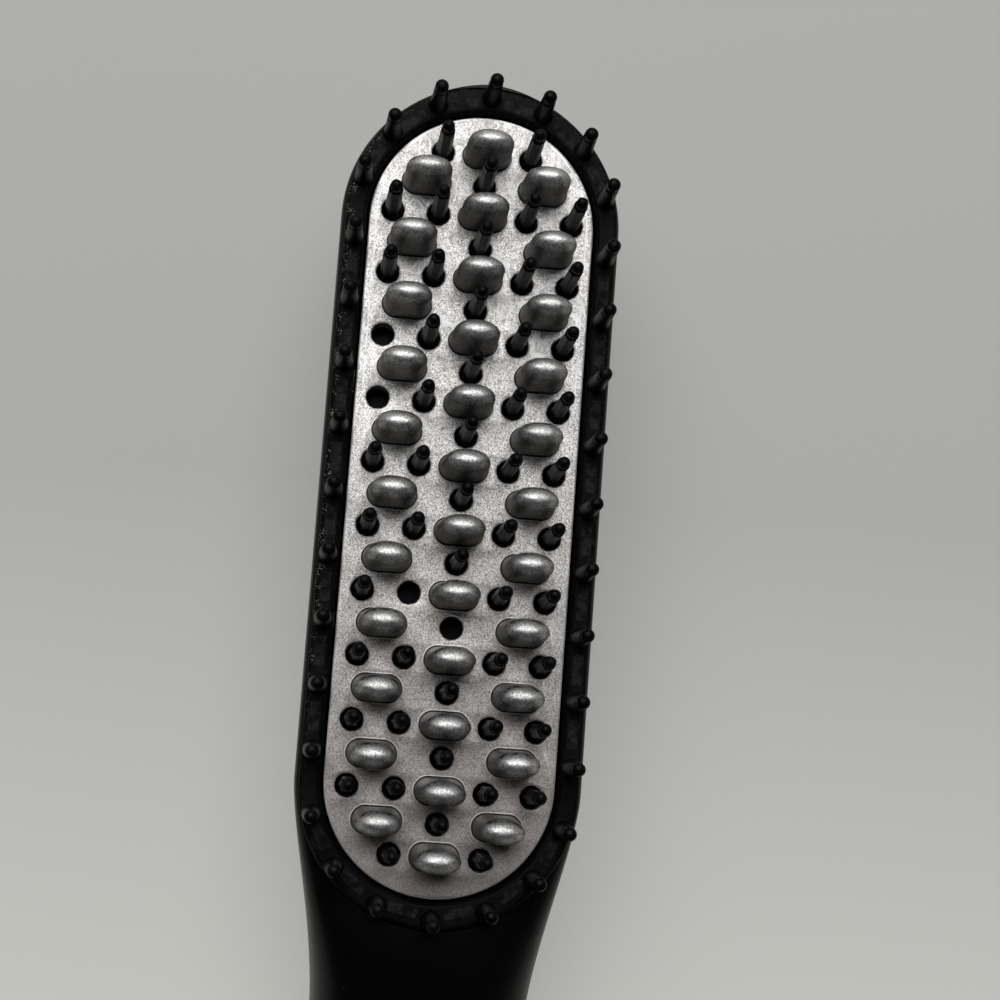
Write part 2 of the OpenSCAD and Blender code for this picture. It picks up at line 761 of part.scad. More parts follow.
sensor_h = pcb_top - pcb_t / 2;
sensor_end_y = pcb_near + 0.06;
fuse_end_y = row_y(fuse_row) - fuse_len / 2;
module sensor_leads() color("#a02020") {
    wire([[0, row_y(sensor_row), board_low - 0.6], [0, row_y(sensor_row), sensor_h],
        [-4.4, sensor_end_y, sensor_h]], 0.6);
    wire([[fuse_x, fuse_end_y, board_low - fuse_r], [fuse_x, fuse_end_y - 2, board_low - fuse_r],
        [fuse_x, fuse_end_y - 2, sensor_h], [5.4, sensor_end_y, sensor_h]], 0.6);
}

gland_tip_d = 8.8;
gland_rib_w = 1.1;
gland_ribs = 4;
module swivel_gland() color("#111111") difference() {
    union() {
        long_rod(gland_flange_d / 2, flange_out_y, flange_in_y);
        long_rod(gland_d / 2, butt_y, flange_out_y + tiny);
        translate([0, gland_end_y, axis_h]) rotate([-90, 0, 0])
            cylinder(r1 = gland_tip_d / 2, r2 = gland_d / 2 - 0.2, h = gland_out, $fn = round_fn);
    }
    long_rod(cord_bore_d / 2, gland_end_y - 1, flange_in_y + 1);
    for (i = [1:gland_ribs]) difference() {
        long_rod(gland_d, gland_end_y + i * 2 * gland_rib_w - 0.8, gland_end_y + i * 2 * gland_rib_w);
        long_rod(gland_tip_d / 2 - 0.3, gland_end_y, butt_y);
    }
}

module swivel_collar() color("#2c2c2e") difference() {
    long_rod(collar_d / 2, butt_y + 1.5, collar_in_y);
    long_rod(gland_d / 2 + gland_fit, butt_y, collar_in_y + 1);
}

back_shell();
front_shell();
comb_rim();
face_plate();
heat_spreader();
heater_film();
insulation_sheet();
pin_board();
plate_screws();
rim_screws();
shell_screws();
board_screws();
control_board();
switch_bodies();
power_button();
plus_button();
minus_button();
power_plunger();
plus_plunger();
minus_plunger();
control_panel();
display_window();
display_module();
controller_chip();
triac();
film_capacitor();
smoothing_capacitor();
thermistor();
thermal_fuse();
heater_leads();
sensor_leads();
swivel_gland();
swivel_collar();
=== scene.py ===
import math

import bmesh
import bpy
from mathutils import Matrix, Vector


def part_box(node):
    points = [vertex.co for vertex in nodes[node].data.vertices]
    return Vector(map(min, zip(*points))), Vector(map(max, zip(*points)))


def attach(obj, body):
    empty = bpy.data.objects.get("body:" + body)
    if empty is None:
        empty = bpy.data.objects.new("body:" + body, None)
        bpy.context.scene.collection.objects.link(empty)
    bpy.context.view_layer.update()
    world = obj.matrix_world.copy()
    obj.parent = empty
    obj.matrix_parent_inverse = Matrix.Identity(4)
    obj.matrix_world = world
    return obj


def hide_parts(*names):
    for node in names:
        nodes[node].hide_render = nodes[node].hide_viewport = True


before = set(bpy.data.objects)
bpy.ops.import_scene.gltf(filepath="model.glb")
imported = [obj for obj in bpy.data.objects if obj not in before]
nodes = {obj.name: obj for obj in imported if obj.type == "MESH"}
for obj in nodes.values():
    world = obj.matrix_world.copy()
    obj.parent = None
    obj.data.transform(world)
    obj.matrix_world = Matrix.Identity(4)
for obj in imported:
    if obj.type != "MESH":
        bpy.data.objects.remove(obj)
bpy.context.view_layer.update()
mm = 0.001

# Sizes of the head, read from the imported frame
plateLow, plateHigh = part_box("face_plate")
rimLow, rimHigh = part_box("comb_rim")
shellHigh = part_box("front_shell")[1]
backLow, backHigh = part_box("back_shell")
head = {
    "middleY": (plateLow.y + plateHigh.y) / 2,
    "straight": rimHigh.y - rimLow.y - 2 * rimHigh.x,
    "faceStraight": plateHigh.y - plateLow.y - 2 * plateHigh.x,
    "plateR": plateHigh.x,
    "faceTop": plateHigh.z,
    "rimR": rimHigh.x,
    "shellR": shellHigh.x,
    "tipY": shellHigh.y,
    "buttY": backLow.y,
    "seamZ": backHigh.z,
}
head["neckY"] = head["middleY"] - head["straight"] / 2
head["endY"] = head["neckY"] - head["shellR"]


# Small helpers

def dropSelection():
    if bpy.context.object and bpy.context.object.mode != "OBJECT":
        bpy.ops.object.mode_set(mode="OBJECT")
    bpy.ops.object.select_all(action="DESELECT")


def pick(*objects):
    dropSelection()
    for o in objects:
        o.select_set(True)
    bpy.context.view_layer.objects.active = objects[0]


def join(name, objects):
    pick(*objects)
    bpy.ops.object.join()
    objects[0].name = name
    return objects[0]


def newObject(name, data):
    made = bpy.data.objects.new(name, data)
    bpy.context.scene.collection.objects.link(made)
    return made


def copyTo(source, place, turn=0.0):
    # a copy with its own mesh, turned about Z and moved, with its place in the mesh
    twin = newObject(source.name, source.data.copy())
    twin.data.transform(Matrix.Translation(place) @ Matrix.Rotation(turn, 4, "Z"))
    return twin


def remove(*objects):
    for o in objects:
        bpy.data.objects.remove(o, do_unlink=True)


def selectEdges(piece, wanted):
    bpy.ops.mesh.select_all(action="DESELECT")
    mesh = bmesh.from_edit_mesh(piece.data)
    for e in mesh.edges:
        if wanted(e):
            e.select = True
    bmesh.update_edit_mesh(piece.data)


def tidyMesh(threshold):
    # still in edit mode: welds doubled points, turns the faces outwards and leaves edit mode
    bpy.ops.mesh.select_all(action="SELECT")
    bpy.ops.mesh.remove_doubles(threshold=threshold)
    bpy.ops.mesh.normals_make_consistent(inside=False)
    bpy.ops.object.mode_set(mode="OBJECT")


def growRings(name, rings, closed=False):
    # a circle is laid on the first ring, then extruded edge by edge through the others; the ends are
    # capped, or joined to each other where the rings close a loop
    dropSelection()
    bpy.ops.mesh.primitive_circle_add(vertices=len(rings[0]), radius=5 * mm)
    piece = bpy.context.object
    piece.name = name
    bpy.ops.object.mode_set(mode="EDIT")
    mesh = bmesh.from_edit_mesh(piece.data)
    for v, spot in zip(mesh.verts, rings[0]):
        v.co = spot
    before = [v.co.copy() for v in mesh.verts]
    for ring in rings[1:]:
        bpy.ops.mesh.extrude_edges_move()
        mesh = bmesh.from_edit_mesh(piece.data)
        found = {tuple(v.co): v for v in mesh.verts if v.select}
        moved = [found[tuple(spot)] for spot in before]
        for v, spot in zip(moved, ring):
            v.co = spot
        before = [v.co.copy() for v in moved]
    lastRing = {tuple(spot) for spot in before}
    if closed:
        selectEdges(piece, lambda e: e.is_boundary)
        bpy.ops.mesh.bridge_edge_loops()
    for isLast in () if closed else (False, True):
        selectEdges(piece, lambda e: e.is_boundary and (tuple(e.verts[0].co) in lastRing) == isLast)
        bpy.ops.mesh.edge_face_add()
    tidyMesh(0.0005 * mm)
    return piece


def turned(name, profile, centre, segments=40, axis="Z", closed=False):
    # profile of (radius, level) pairs turned round an upright or lengthwise axis
    rings = []
    for radius, level in profile:
        ring = []
        for i in range(segments):
            a = 2 * math.pi * i / segments
            across, up = radius * math.cos(a), radius * math.sin(a)
            spot = (across, up, level) if axis == "Z" else (across, level, up)
            ring.append(Vector(centre) + Vector(spot))
        rings.append(ring)
    return growRings(name, rings, closed)


def shade(piece, degrees=35, weighted=False):
    pick(piece)
    bpy.ops.object.shade_smooth_by_angle(angle=math.radians(degrees))
    if weighted:
        bpy.ops.object.modifier_add(type="WEIGHTED_NORMAL")
        piece.modifiers[-1].keep_sharp = True
        bpy.ops.object.modifier_apply(modifier=piece.modifiers[-1].name)
    return piece


def cut(piece, cutter):
    pick(piece)
    bpy.ops.object.modifier_add(type="BOOLEAN")
    modifier = piece.modifiers[-1]
    modifier.operation, modifier.object, modifier.solver = "DIFFERENCE", cutter, "EXACT"
    bpy.ops.object.modifier_apply(modifier=modifier.name)
    remove(cutter)


def arcPoints(cx, cy, radius, start, end, steps):
    angles = [math.radians(start + (end - start) * i / steps) for i in range(steps + 1)]
    return [(cx + radius * math.cos(a), cy + radius * math.sin(a)) for a in angles]


def roundBox(cx, cy, halfX, halfY, radius, steps):
    # outline with round corners; a stadium or a circle where the radius takes the whole side
    points = []
    for sx, sy, start in ((1, 1, 0), (-1, 1, 90), (-1, -1, 180), (1, -1, 270)):
        points += arcPoints(cx + sx * (halfX - radius), cy + sy * (halfY - radius), radius,
                            start, start + 90, steps)
    return [p for i, p in enumerate(points) if math.dist(p, points[i - 1]) > 0.001 * mm]


def disc(x, y, radius, steps):
    return roundBox(x, y, radius, radius, radius, steps)


def sheetPiece(name, outlines, low, high, rounding, steps=3):
    # flat sheet with holes and rounded rims, drawn as a filled curve and made a mesh
    curve = bpy.data.curves.new(name, "CURVE")
    curve.dimensions, curve.fill_mode = "2D", "BOTH"
    curve.extrude = (high - low) / 2 - rounding
    curve.bevel_depth, curve.bevel_resolution, curve.offset = rounding, steps, -rounding
    for outline in outlines:
        spline = curve.splines.new("POLY")
        spline.points.add(len(outline) - 1)
        for point, (x, y) in zip(spline.points, outline):
            point.co = (x, y, 0, 1)
        spline.use_cyclic_u = True
    pick(newObject(name, curve))
    bpy.ops.object.convert(target="MESH")
    piece = bpy.context.object
    piece.data.transform(Matrix.Translation((0, 0, (low + high) / 2)))
    bpy.ops.object.mode_set(mode="EDIT")
    tidyMesh(0.002 * mm)
    return piece


def clamp(value):
    return max(0.0, min(1.0, value))


def ease(u):
    u = clamp(u)
    return u * u * (3 - 2 * u)


def mix(a, b, u):
    return a + (b - a) * u


# Camera, at the photograph's viewing angle

camera = {
    "place": (-18.377 * mm, head["middleY"] - 30.402 * mm, 300.03 * mm),
    "turn": (-0.110, 0.092, -0.078),       # axis times angle, from the row frame to the camera
    "lens": 70.0,
}
lensData = bpy.data.cameras.new("photoCamera")
lensData.lens = camera["lens"]
lensData.clip_start = 0.01
photoCamera = newObject("photoCamera", lensData)
axis = Vector(camera["turn"])
toCamera = Matrix.Rotation(axis.length, 4, axis.normalized())
photoCamera.matrix_world = Matrix.Translation(camera["place"]) @ toCamera.transposed()
bpy.context.scene.camera = photoCamera
print("camera set")


# Materials

def linear(hexColour):
    channels = [int(hexColour[i:i + 2], 16) / 255 for i in (1, 3, 5)]
    return [c / 12.92 if c <= 0.04045 else ((c + 0.055) / 1.055) ** 2.4 for c in channels] + [1]


def addNode(tree, kind, inputs=(), out=0, span=(), **settings):
    # inputs are sockets to link, numbers or sRGB hex colours, in order or by name; gives back one output.
    # span puts that output through a MapRange, whose inputs are value, from, from, to, to
    node = tree.nodes.new("ShaderNode" + kind)
    for key, value in settings.items():
        setattr(node, key, value)
    for key, value in inputs.items() if isinstance(inputs, dict) else enumerate(inputs):
        if isinstance(value, bpy.types.NodeSocket):
            tree.links.new(value, node.inputs[key])
        else:
            node.inputs[key].default_value = linear(value) if isinstance(value, str) else value
    return addNode(tree, "MapRange", (node.outputs[out], *span)) if span else node.outputs[out]


def feed(tree, **sockets):
    # sets or links the shader's inputs, with Base_Color standing for "Base Color"
    for key, value in sockets.items():
        socket = tree.nodes["Principled BSDF"].inputs[key.replace("_", " ")]
        if isinstance(value, bpy.types.NodeSocket):
            tree.links.new(value, socket)
        else:
            socket.default_value = value


def newMaterial(name, **sockets):
    material = bpy.data.materials.new(name)
    material.use_nodes = True
    feed(material.node_tree, **sockets)
    return material, material.node_tree, addNode(material.node_tree, "TexCoord", out="Object")


def sized(place, sizeMm, **more):
    # inputs of a texture whose features are about this far apart
    return {"Vector": place, "Scale": 1 / (sizeMm * mm), **more}


def farFrom(tree, value, level):
    # how far a value is from a level, on either side
    value = addNode(tree, "Math", (value, level), operation="SUBTRACT")
    return addNode(tree, "Math", (value,), operation="ABSOLUTE")


def dress(tree, colour, layers, rough, bump, between=(0.3, 0.7), **more):
    # layers of (amount, colour) over a colour, a roughness that a pattern drives, and a bump in mm
    for amount, over in layers:
        colour = addNode(tree, "Mix", {0: amount, 6: colour, 7: over}, 2, data_type="RGBA")
    pattern, least, most = rough
    height, deepMm, strength = bump
    feed(tree, Base_Color=colour,
         Roughness=addNode(tree, "MapRange", (pattern, *between, least, most)),
         Normal=addNode(tree, "Bump", {"Height": height, "Distance": deepMm * mm, "Strength": strength}),
         **more)


# Housing: moulded ABS, spark-eroded satin. Black with a soft wide sheen, a faint grain and a little lint.
def mouldedAbs():
    look = {
        "base": "#030303", "pale": "#080809", "lint": "#3c3b38",
        "grainMm": 0.35, "cloudMm": 22, "lintMm": 2.4, "patchMm": 7,
    }
    material, tree, place = newMaterial("mouldedSatinAbs", IOR=1.5, Specular_IOR_Level=0.11)
    cloud = addNode(tree, "TexNoise", sized(place, look["cloudMm"], Detail=4.0))
    tone = addNode(tree, "MapRange", (cloud, 0.35, 0.7))
    fleck = addNode(tree, "TexVoronoi", sized(place, look["lintMm"]), span=(0.05, 0.035))
    patch = addNode(tree, "TexNoise", sized(place, look["patchMm"]), span=(0.58, 0.66))
    lint = addNode(tree, "Math", (fleck, patch), operation="MULTIPLY")
    grain = addNode(tree, "TexNoise", sized(place, look["grainMm"]))
    dress(tree, look["base"], [(tone, look["pale"]), (lint, look["lint"])],
          rough=(cloud, 0.30, 0.38), bump=(grain, 0.02, 0.35))
    return material


# Distance of a point from the head's middle line, which is as long as the rim's straight sides.
def reachFromMiddle(tree, place):
    x = addNode(tree, "SeparateXYZ", (place,), "X")
    y = addNode(tree, "SeparateXYZ", (place,), "Y")
    for operation, value in (("SUBTRACT", head["middleY"]), ("ABSOLUTE", 0.0),
                             ("SUBTRACT", head["straight"] / 2), ("MAXIMUM", 0.0)):
        y = addNode(tree, "Math", (y, value), operation=operation)
    flat = addNode(tree, "CombineXYZ", (x, y))
    return addNode(tree, "VectorMath", (flat,), "Value", operation="LENGTH")


# Rim and pins: glass-filled nylon, moulded. Duller than the housing, almost black. The rim has a broken line
# of dust along its outer edge, thicker on the left and towards the tip, and faint specks elsewhere.
def filledNylon(name, dusty):
    look = {
        "base": "#030304", "pale": "#0c0c0e", "dust": "#a3a199",
        "grainMm": 0.22, "cloudMm": 3.2, "speckMm": 0.3, "patchMm": 1.7,
        "dustAt": 18.8 * mm, "dustCore": 0.2 * mm, "dustWide": 0.9 * mm,
        "dustLeft": (-12 * mm, -18 * mm, 0.18), "dustHeadwards": (28 * mm, 55 * mm, 0.1),
        "shine": 0.06 if dusty else 0.07, "rough": (0.46, 0.62) if dusty else (0.32, 0.46),
        "strength": 0.5 if dusty else 0.3,
    }
    material, tree, place = newMaterial(name, IOR=1.5, Specular_IOR_Level=look["shine"])
    cloud = addNode(tree, "TexNoise", sized(place, look["cloudMm"], Detail=4.0, Roughness=0.6))
    layers = [(addNode(tree, "MapRange", (cloud, 0.38, 0.68)), look["pale"])]
    if dusty:
        line = farFrom(tree, reachFromMiddle(tree, place), look["dustAt"])
        line = addNode(tree, "MapRange", (line, look["dustCore"], look["dustWide"], 1.0, 0.12))
        left = addNode(tree, "SeparateXYZ", (place,), "X", look["dustLeft"])
        headwards = addNode(tree, "SeparateXYZ", (place,), "Y", look["dustHeadwards"])
        patch = addNode(tree, "TexNoise", sized(place, look["patchMm"], Detail=3.0), span=(0.44, 0.60))
        speck = addNode(tree, "TexVoronoi", sized(place, look["speckMm"]), span=(0.40, 0.12, 0, 0.8))
        for value in (patch, line, left, headwards):
            speck = addNode(tree, "Math", (speck, value), operation="MULTIPLY")
        layers.append((speck, look["dust"]))
    grain = addNode(tree, "TexNoise", sized(place, look["grainMm"], Detail=3.0))
    dress(tree, look["base"], layers, rough=(cloud, *look["rough"]), bump=(grain, 0.03, look["strength"]))
    return material


# Pads between the rim pins: the same nylon, coarsely spark-eroded, so that pale grains show on black.
def coarseNylon():
    look = {"base": "#0b0b0c", "pale": "#303031", "grainMm": 0.2, "patchMm": 1.3}
    material, tree, place = newMaterial("coarseTexturedNylon", IOR=1.5, Specular_IOR_Level=0.08)
    grain = addNode(tree, "TexNoise", sized(place, look["grainMm"], Detail=2.0, Roughness=0.7))
    tone = addNode(tree, "MapRange", (grain, 0.36, 0.64))
    patch = addNode(tree, "TexNoise", sized(place, look["patchMm"]), span=(0.36, 0.56))
    tone = addNode(tree, "Math", (tone, patch), operation="MULTIPLY")
    dress(tree, look["base"], [(tone, look["pale"])], rough=(grain, 0.65, 0.85), bump=(grain, 0.06, 0.6))
    return material


# Face plate: sprayed ceramic coat with metal flake. A bright silver with a fine dark grain that grows warmer
# and darker towards the handle; the darkening is painted shade, and the tip end is painted darker too, as
# painted shade. Dried wipe marks near the tip are thin white curls in duller patches and a line along the
# edge. The rounded rims of the plate and its openings are painted white as a painted highlight, and the
# openings are painted darker lower down as painted shade. The grain is drawn at 0.17 mm, coarser than the
# real flake, so that it shows.
def flakeCoat():
    look = {
        "light": "#efedeb", "dark": "#6f6b69", "stain": "#a5988c", "warmShade": "#877d78", "tip": "#9a9998",
        "residueAndHighlight": "#ffffff", "wet": "#8a8785", "openingShade": "#2e2b29",
        "grainMm": 0.17, "stainMm": 9, "curlMm": 6.0, "curlStretch": 0.75, "patchMm": 5.0,
        "warmShadeFrom": 72 * mm, "warmShadeTo": 9 * mm, "tipShadeFrom": 104 * mm, "tipShadeTo": 120 * mm,
        "markFrom": 66 * mm, "markTo": 100 * mm, "lineAt": head["plateR"] - 1.0 * mm,
        "openingShadeFrom": head["faceTop"] - 0.05 * mm, "openingShadeTo": head["faceTop"] - 0.18 * mm,
        "shadeOffFrom": head["plateR"] - 0.5 * mm, "shadeOffTo": head["plateR"] - 0.8 * mm,
    }
    material, tree, place = newMaterial("sprayedCeramicCoat")
    y = addNode(tree, "SeparateXYZ", (place,), "Y")
    z = addNode(tree, "SeparateXYZ", (place,), "Z")
    reach = reachFromMiddle(tree, place)
    grain = addNode(tree, "TexNoise", sized(place, look["grainMm"], Detail=2.0, Roughness=0.7))
    tone = addNode(tree, "MapRange", (grain, 0.36, 0.62))
    stain = addNode(tree, "TexNoise", sized(place, look["stainMm"], Detail=4.0, Roughness=0.6),
                    span=(0.55, 0.75, 0, 0.3))
    # painted shade: the plate is painted warmer and darker towards the handle
    warmShade = addNode(tree, "MapRange", (y, look["warmShadeFrom"], look["warmShadeTo"], 0, 0.72))
    # painted shade: the tip end of the plate is painted darker
    tip = addNode(tree, "MapRange", (y, look["tipShadeFrom"], look["tipShadeTo"], 0, 0.4))
    # curls are where one noise is near its middle value
    along = addNode(tree, "Mapping", {"Vector": place, "Scale": (1.0, look["curlStretch"], 1.0)})
    curl = addNode(tree, "TexNoise", sized(along, look["curlMm"], Detail=3.0, Roughness=0.5, Distortion=1.4))
    curl = farFrom(tree, curl, 0.5)
    wet = addNode(tree, "MapRange", (curl, 0.13, 0.04, 0, 0.4))
    curl = addNode(tree, "MapRange", (curl, 0.030, 0.014))
    edgeLine = farFrom(tree, reach, look["lineAt"])
    edgeLine = addNode(tree, "MapRange", (edgeLine, 0.16 * mm, 0.08 * mm, 0, 0.9))
    marksAndHighlight = addNode(tree, "Math", (curl, edgeLine), operation="MAXIMUM")
    patch = addNode(tree, "TexNoise", sized(place, look["patchMm"], Detail=3.0), span=(0.40, 0.54))
    nearTip = addNode(tree, "MapRange", (y, look["markFrom"], look["markTo"]))
    for value in (patch, nearTip):
        marksAndHighlight = addNode(tree, "Math", (marksAndHighlight, value), operation="MULTIPLY")
        wet = addNode(tree, "Math", (wet, value), operation="MULTIPLY")
    # painted highlight: the rounded rims of the plate and its openings are painted white, with less metal, so
    # that they show as thin light lines
    rolledHighlight = farFrom(tree, z, head["faceTop"])
    rolledHighlight = addNode(tree, "MapRange", (rolledHighlight, 0.002 * mm, 0.03 * mm, 0, 0.45))
    marksAndHighlight = addNode(tree, "Math", (marksAndHighlight, rolledHighlight), operation="MAXIMUM")
    # painted shade lower down the rounded edges of the openings, but not on the plate's own edge
    openingShade = addNode(tree, "MapRange", (z, look["openingShadeFrom"], look["openingShadeTo"], 0, 0.8))
    offRim = addNode(tree, "MapRange", (reach, look["shadeOffFrom"], look["shadeOffTo"]))
    openingShade = addNode(tree, "Math", (openingShade, offRim), operation="MULTIPLY")
    # the residue colour also paints the rims' painted highlight
    layers = [(tone, "light"), (stain, "stain"), (warmShade, "warmShade"), (tip, "tip"),
              (wet, "wet"), (marksAndHighlight, "residueAndHighlight"), (openingShade, "openingShade")]
    dress(tree, look["dark"], [(amount, look[name]) for amount, name in layers],
          rough=(grain, 0.52, 0.42), bump=(grain, 0.03, 0.5),
          Metallic=addNode(tree, "MapRange", (marksAndHighlight, 0, 1, 0.8, 0.1)))
    return material


# Bumps: tumbled die-cast aluminium. The crown is polished and is also painted lighter, a painted highlight
# that adds to its soft broad highlight; the side facing the tip is painted lighter, which is painted light.
# The walls are duller and darker, and on the tip's side a broken dark line is painted where the crown begins.
# Fine pits all over.
def polishedCasting():
    look = {
        "light": "#d6d5d4", "dark": "#8f8e8d", "wallLight": "#8b8987", "wallDark": "#656361",
        "darkLine": "#22201e", "pitMm": 0.26, "toneMm": 1.6, "polishAndHighlightFrom": head["faceTop"] + 6.4 * mm,
        "polishAndHighlightTo": head["faceTop"] + 9.2 * mm, "darkLineAt": head["faceTop"] + 8.3 * mm,
    }
    material, tree, place = newMaterial("tumbledDieCasting", Metallic=1.0)
    z = addNode(tree, "SeparateXYZ", (place,), "Z")
    facing = addNode(tree, "SeparateXYZ", (addNode(tree, "TexCoord", out="Normal"),), "Y")
    pits = addNode(tree, "TexNoise", sized(place, look["pitMm"], Detail=3.0, Roughness=0.6))
    tone = addNode(tree, "MapRange", (pits, 0.36, 0.62))
    crown, wall = [addNode(tree, "Mix", {0: tone, 6: look[dark], 7: look[light]}, 2, data_type="RGBA")
                   for dark, light in (("dark", "light"), ("wallDark", "wallLight"))]
    # the crown is painted lighter: partly its real polish, partly a painted highlight
    polishAndPaintedLight = addNode(tree, "MapRange", (z, look["polishAndHighlightFrom"], look["polishAndHighlightTo"]))
    # painted light: the side facing the tip, towards the window, is painted lighter
    paintedLitSide = addNode(tree, "MapRange", (facing, 0.1, 0.7, 0, 0.6))
    polishAndPaintedLight = addNode(tree, "Math", (polishAndPaintedLight, paintedLitSide), operation="MAXIMUM")
    # a broken dark line painted where the crown begins, on the side towards the tip
    darkLine = farFrom(tree, z, look["darkLineAt"])
    darkLine = addNode(tree, "MapRange", (darkLine, 0.55 * mm, 0.15 * mm, 0, 0.85))
    facing = addNode(tree, "MapRange", (facing, 0.25, 0.6, 0.2))
    cloud = addNode(tree, "TexNoise", sized(place, look["toneMm"], Detail=4.0, Roughness=0.7))
    broken = addNode(tree, "MapRange", (cloud, 0.46, 0.56))
    for value in (facing, broken):
        darkLine = addNode(tree, "Math", (darkLine, value), operation="MULTIPLY")
    dress(tree, wall, [(polishAndPaintedLight, crown), (darkLine, look["darkLine"])],
          rough=(cloud, 0.48, 0.60), bump=(pits, 0.035, 0.5))
    return material


# Panel and window: glossy moulding with hairline wipe marks.
def glossPanel(name, base):
    look = {"wiped": "#2c2d30", "wipeMm": 5, "stretch": 6.0}
    material, tree, place = newMaterial(name, IOR=1.58, Coat_Weight=0.4, Coat_Roughness=0.04)
    along = addNode(tree, "Mapping", {"Vector": place, "Scale": (look["stretch"], 1.0, 1.0)})
    wipes = addNode(tree, "TexNoise", sized(along, look["wipeMm"], Detail=5.0, Roughness=0.7))
    tone = addNode(tree, "MapRange", (wipes, 0.5, 0.8, 0, 0.25))
    dress(tree, base, [(tone, look["wiped"])], rough=(wipes, 0.07, 0.16), bump=(wipes, 0.004, 0.3))
    return material


# Plain moulded plastics and rubbers of the small pieces: a fine texture and a slow shift of tone.
def mouldedPlastic(name, base, pale, roughness, grainMm=0.25, depthMm=0.02):
    material, tree, place = newMaterial(name)
    tone = addNode(tree, "TexNoise", sized(place, 6, Detail=4.0), span=(0.35, 0.68))
    grain = addNode(tree, "TexNoise", sized(place, grainMm))
    dress(tree, base, [(tone, pale)], rough=(grain, roughness - 0.05, roughness + 0.07),
          bump=(grain, depthMm, 0.4))
    return material


# Screws: zinc-plated steel, with turned rings on the heads.
def platedSteel():
    look = {"dark": "#96979a", "light": "#b9babb", "waveMm": 2.5, "cloudMm": 0.6}
    material, tree, place = newMaterial("zincPlatedSteel", Metallic=1.0)
    turning = addNode(tree, "TexWave", sized(place, look["waveMm"], Distortion=1.5), 1, wave_type="RINGS")
    cloud = addNode(tree, "TexNoise", sized(place, look["cloudMm"]))
    dress(tree, look["dark"], [(turning, look["light"])], rough=(cloud, 0.26, 0.4), bump=(turning, 0.01, 0.4))
    return material


# Woven or printed inner sheets: a weave near the real thread spacing, as a wave's bands lie 0.31 of its
# size apart.
def wovenSheet(name, base, thread, spacingMm, roughness):
    material, tree, place = newMaterial(name)
    bands = [addNode(tree, "TexWave", sized(place, 2 * spacingMm, Distortion=0.4), 1, bands_direction=way)
             for way in ("X", "Y")]
    weave = addNode(tree, "Math", bands, operation="MULTIPLY")
    dress(tree, base, [(weave, thread)], rough=(weave, roughness, roughness - 0.1),
          bump=(weave, 0.05, 0.5), between=(0, 1))
    return material


satinAbs = mouldedAbs()
rimNylon = filledNylon("glassFilledNylonRim", True)
pinNylon = filledNylon("glassFilledNylonPins", False)
silverCoat = flakeCoat()
padNylon = coarseNylon()
castMetal = polishedCasting()
blackGloss = glossPanel("pianoBlackPolycarbonate", "#0b0b0d")
smokedWindow = glossPanel("smokedAcrylic", "#15181d")
buttonAbs = mouldedPlastic("texturedButtonAbs", "#38383b", "#47474a", 0.5, 0.3, 0.04)
paleInk = mouldedPlastic("palePadPrint", "#c4c4c0", "#d2d2ce", 0.55)
blackRubber = mouldedPlastic("thermoplasticRubber", "#141415", "#202022", 0.62, 0.35, 0.03)
innerLooks = {
    # name, base and thread colour, thread spacing in mm, roughness
    "heater_film": wovenSheet("polyimideFilm", "#b5651d", "#8f4b12", 1.2, 0.35),
    "insulation_sheet": wovenSheet("wovenGlassFelt", "#c9c3b2", "#ece7da", 0.8, 0.9),
    "control_board": wovenSheet("solderMaskLaminate", "#14502b", "#1d6337", 0.6, 0.4),
}
innerPlastics = {
    # name, base and pale colour, roughness
    "switch_bodies": ("switchNylon", "#222224", "#2d2d30", 0.5),
    "display_module": ("displayCase", "#17181b", "#202226", 0.3),
    "controller_chip": ("chipEpoxy", "#1a1a1b", "#262627", 0.55),
    "triac": ("triacEpoxy", "#19191a", "#242425", 0.5),
    "film_capacitor": ("capacitorLacquer", "#c79b1e", "#d9b23c", 0.3),
    "smoothing_capacitor": ("capacitorSleeve", "#1f2b57", "#2b3a6c", 0.25),
    "thermistor": ("sensorGlaze", "#bfae8c", "#d5c7aa", 0.3),
    "thermal_fuse": ("fuseCeramic", "#d2cbb8", "#e2dccc", 0.5),
    "heater_leads": ("siliconeWhite", "#c9c9c6", "#dcdcd8", 0.5),
    "sensor_leads": ("siliconeRed", "#8f1f1f", "#a83030", 0.5),
    "power_plunger": ("plungerNylon", "#7d1f1d", "#96302c", 0.45),
    "swivel_collar": ("turnedAcetal", "#262628", "#333335", 0.4),
}
for nodeName, values in innerPlastics.items():
    innerLooks[nodeName] = mouldedPlastic(*values)
innerLooks["plus_plunger"] = innerLooks["minus_plunger"] = innerLooks["power_plunger"]
screwNames = ("plate_screws", "rim_screws", "shell_screws", "board_screws")
innerLooks.update(dict.fromkeys(screwNames, platedSteel()))
for nodeName, material in innerLooks.items():
    nodes[nodeName].data.materials.clear()
    nodes[nodeName].data.materials.append(material)
print("materials ready")


def finish(piece, material, body, slot, *replaced):
    piece.data.materials.clear()
    piece.data.materials.append(material)
    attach(piece, body)
    if replaced:
        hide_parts(*replaced)


# Housing: one loft of rounded sections, split into a front and a back half

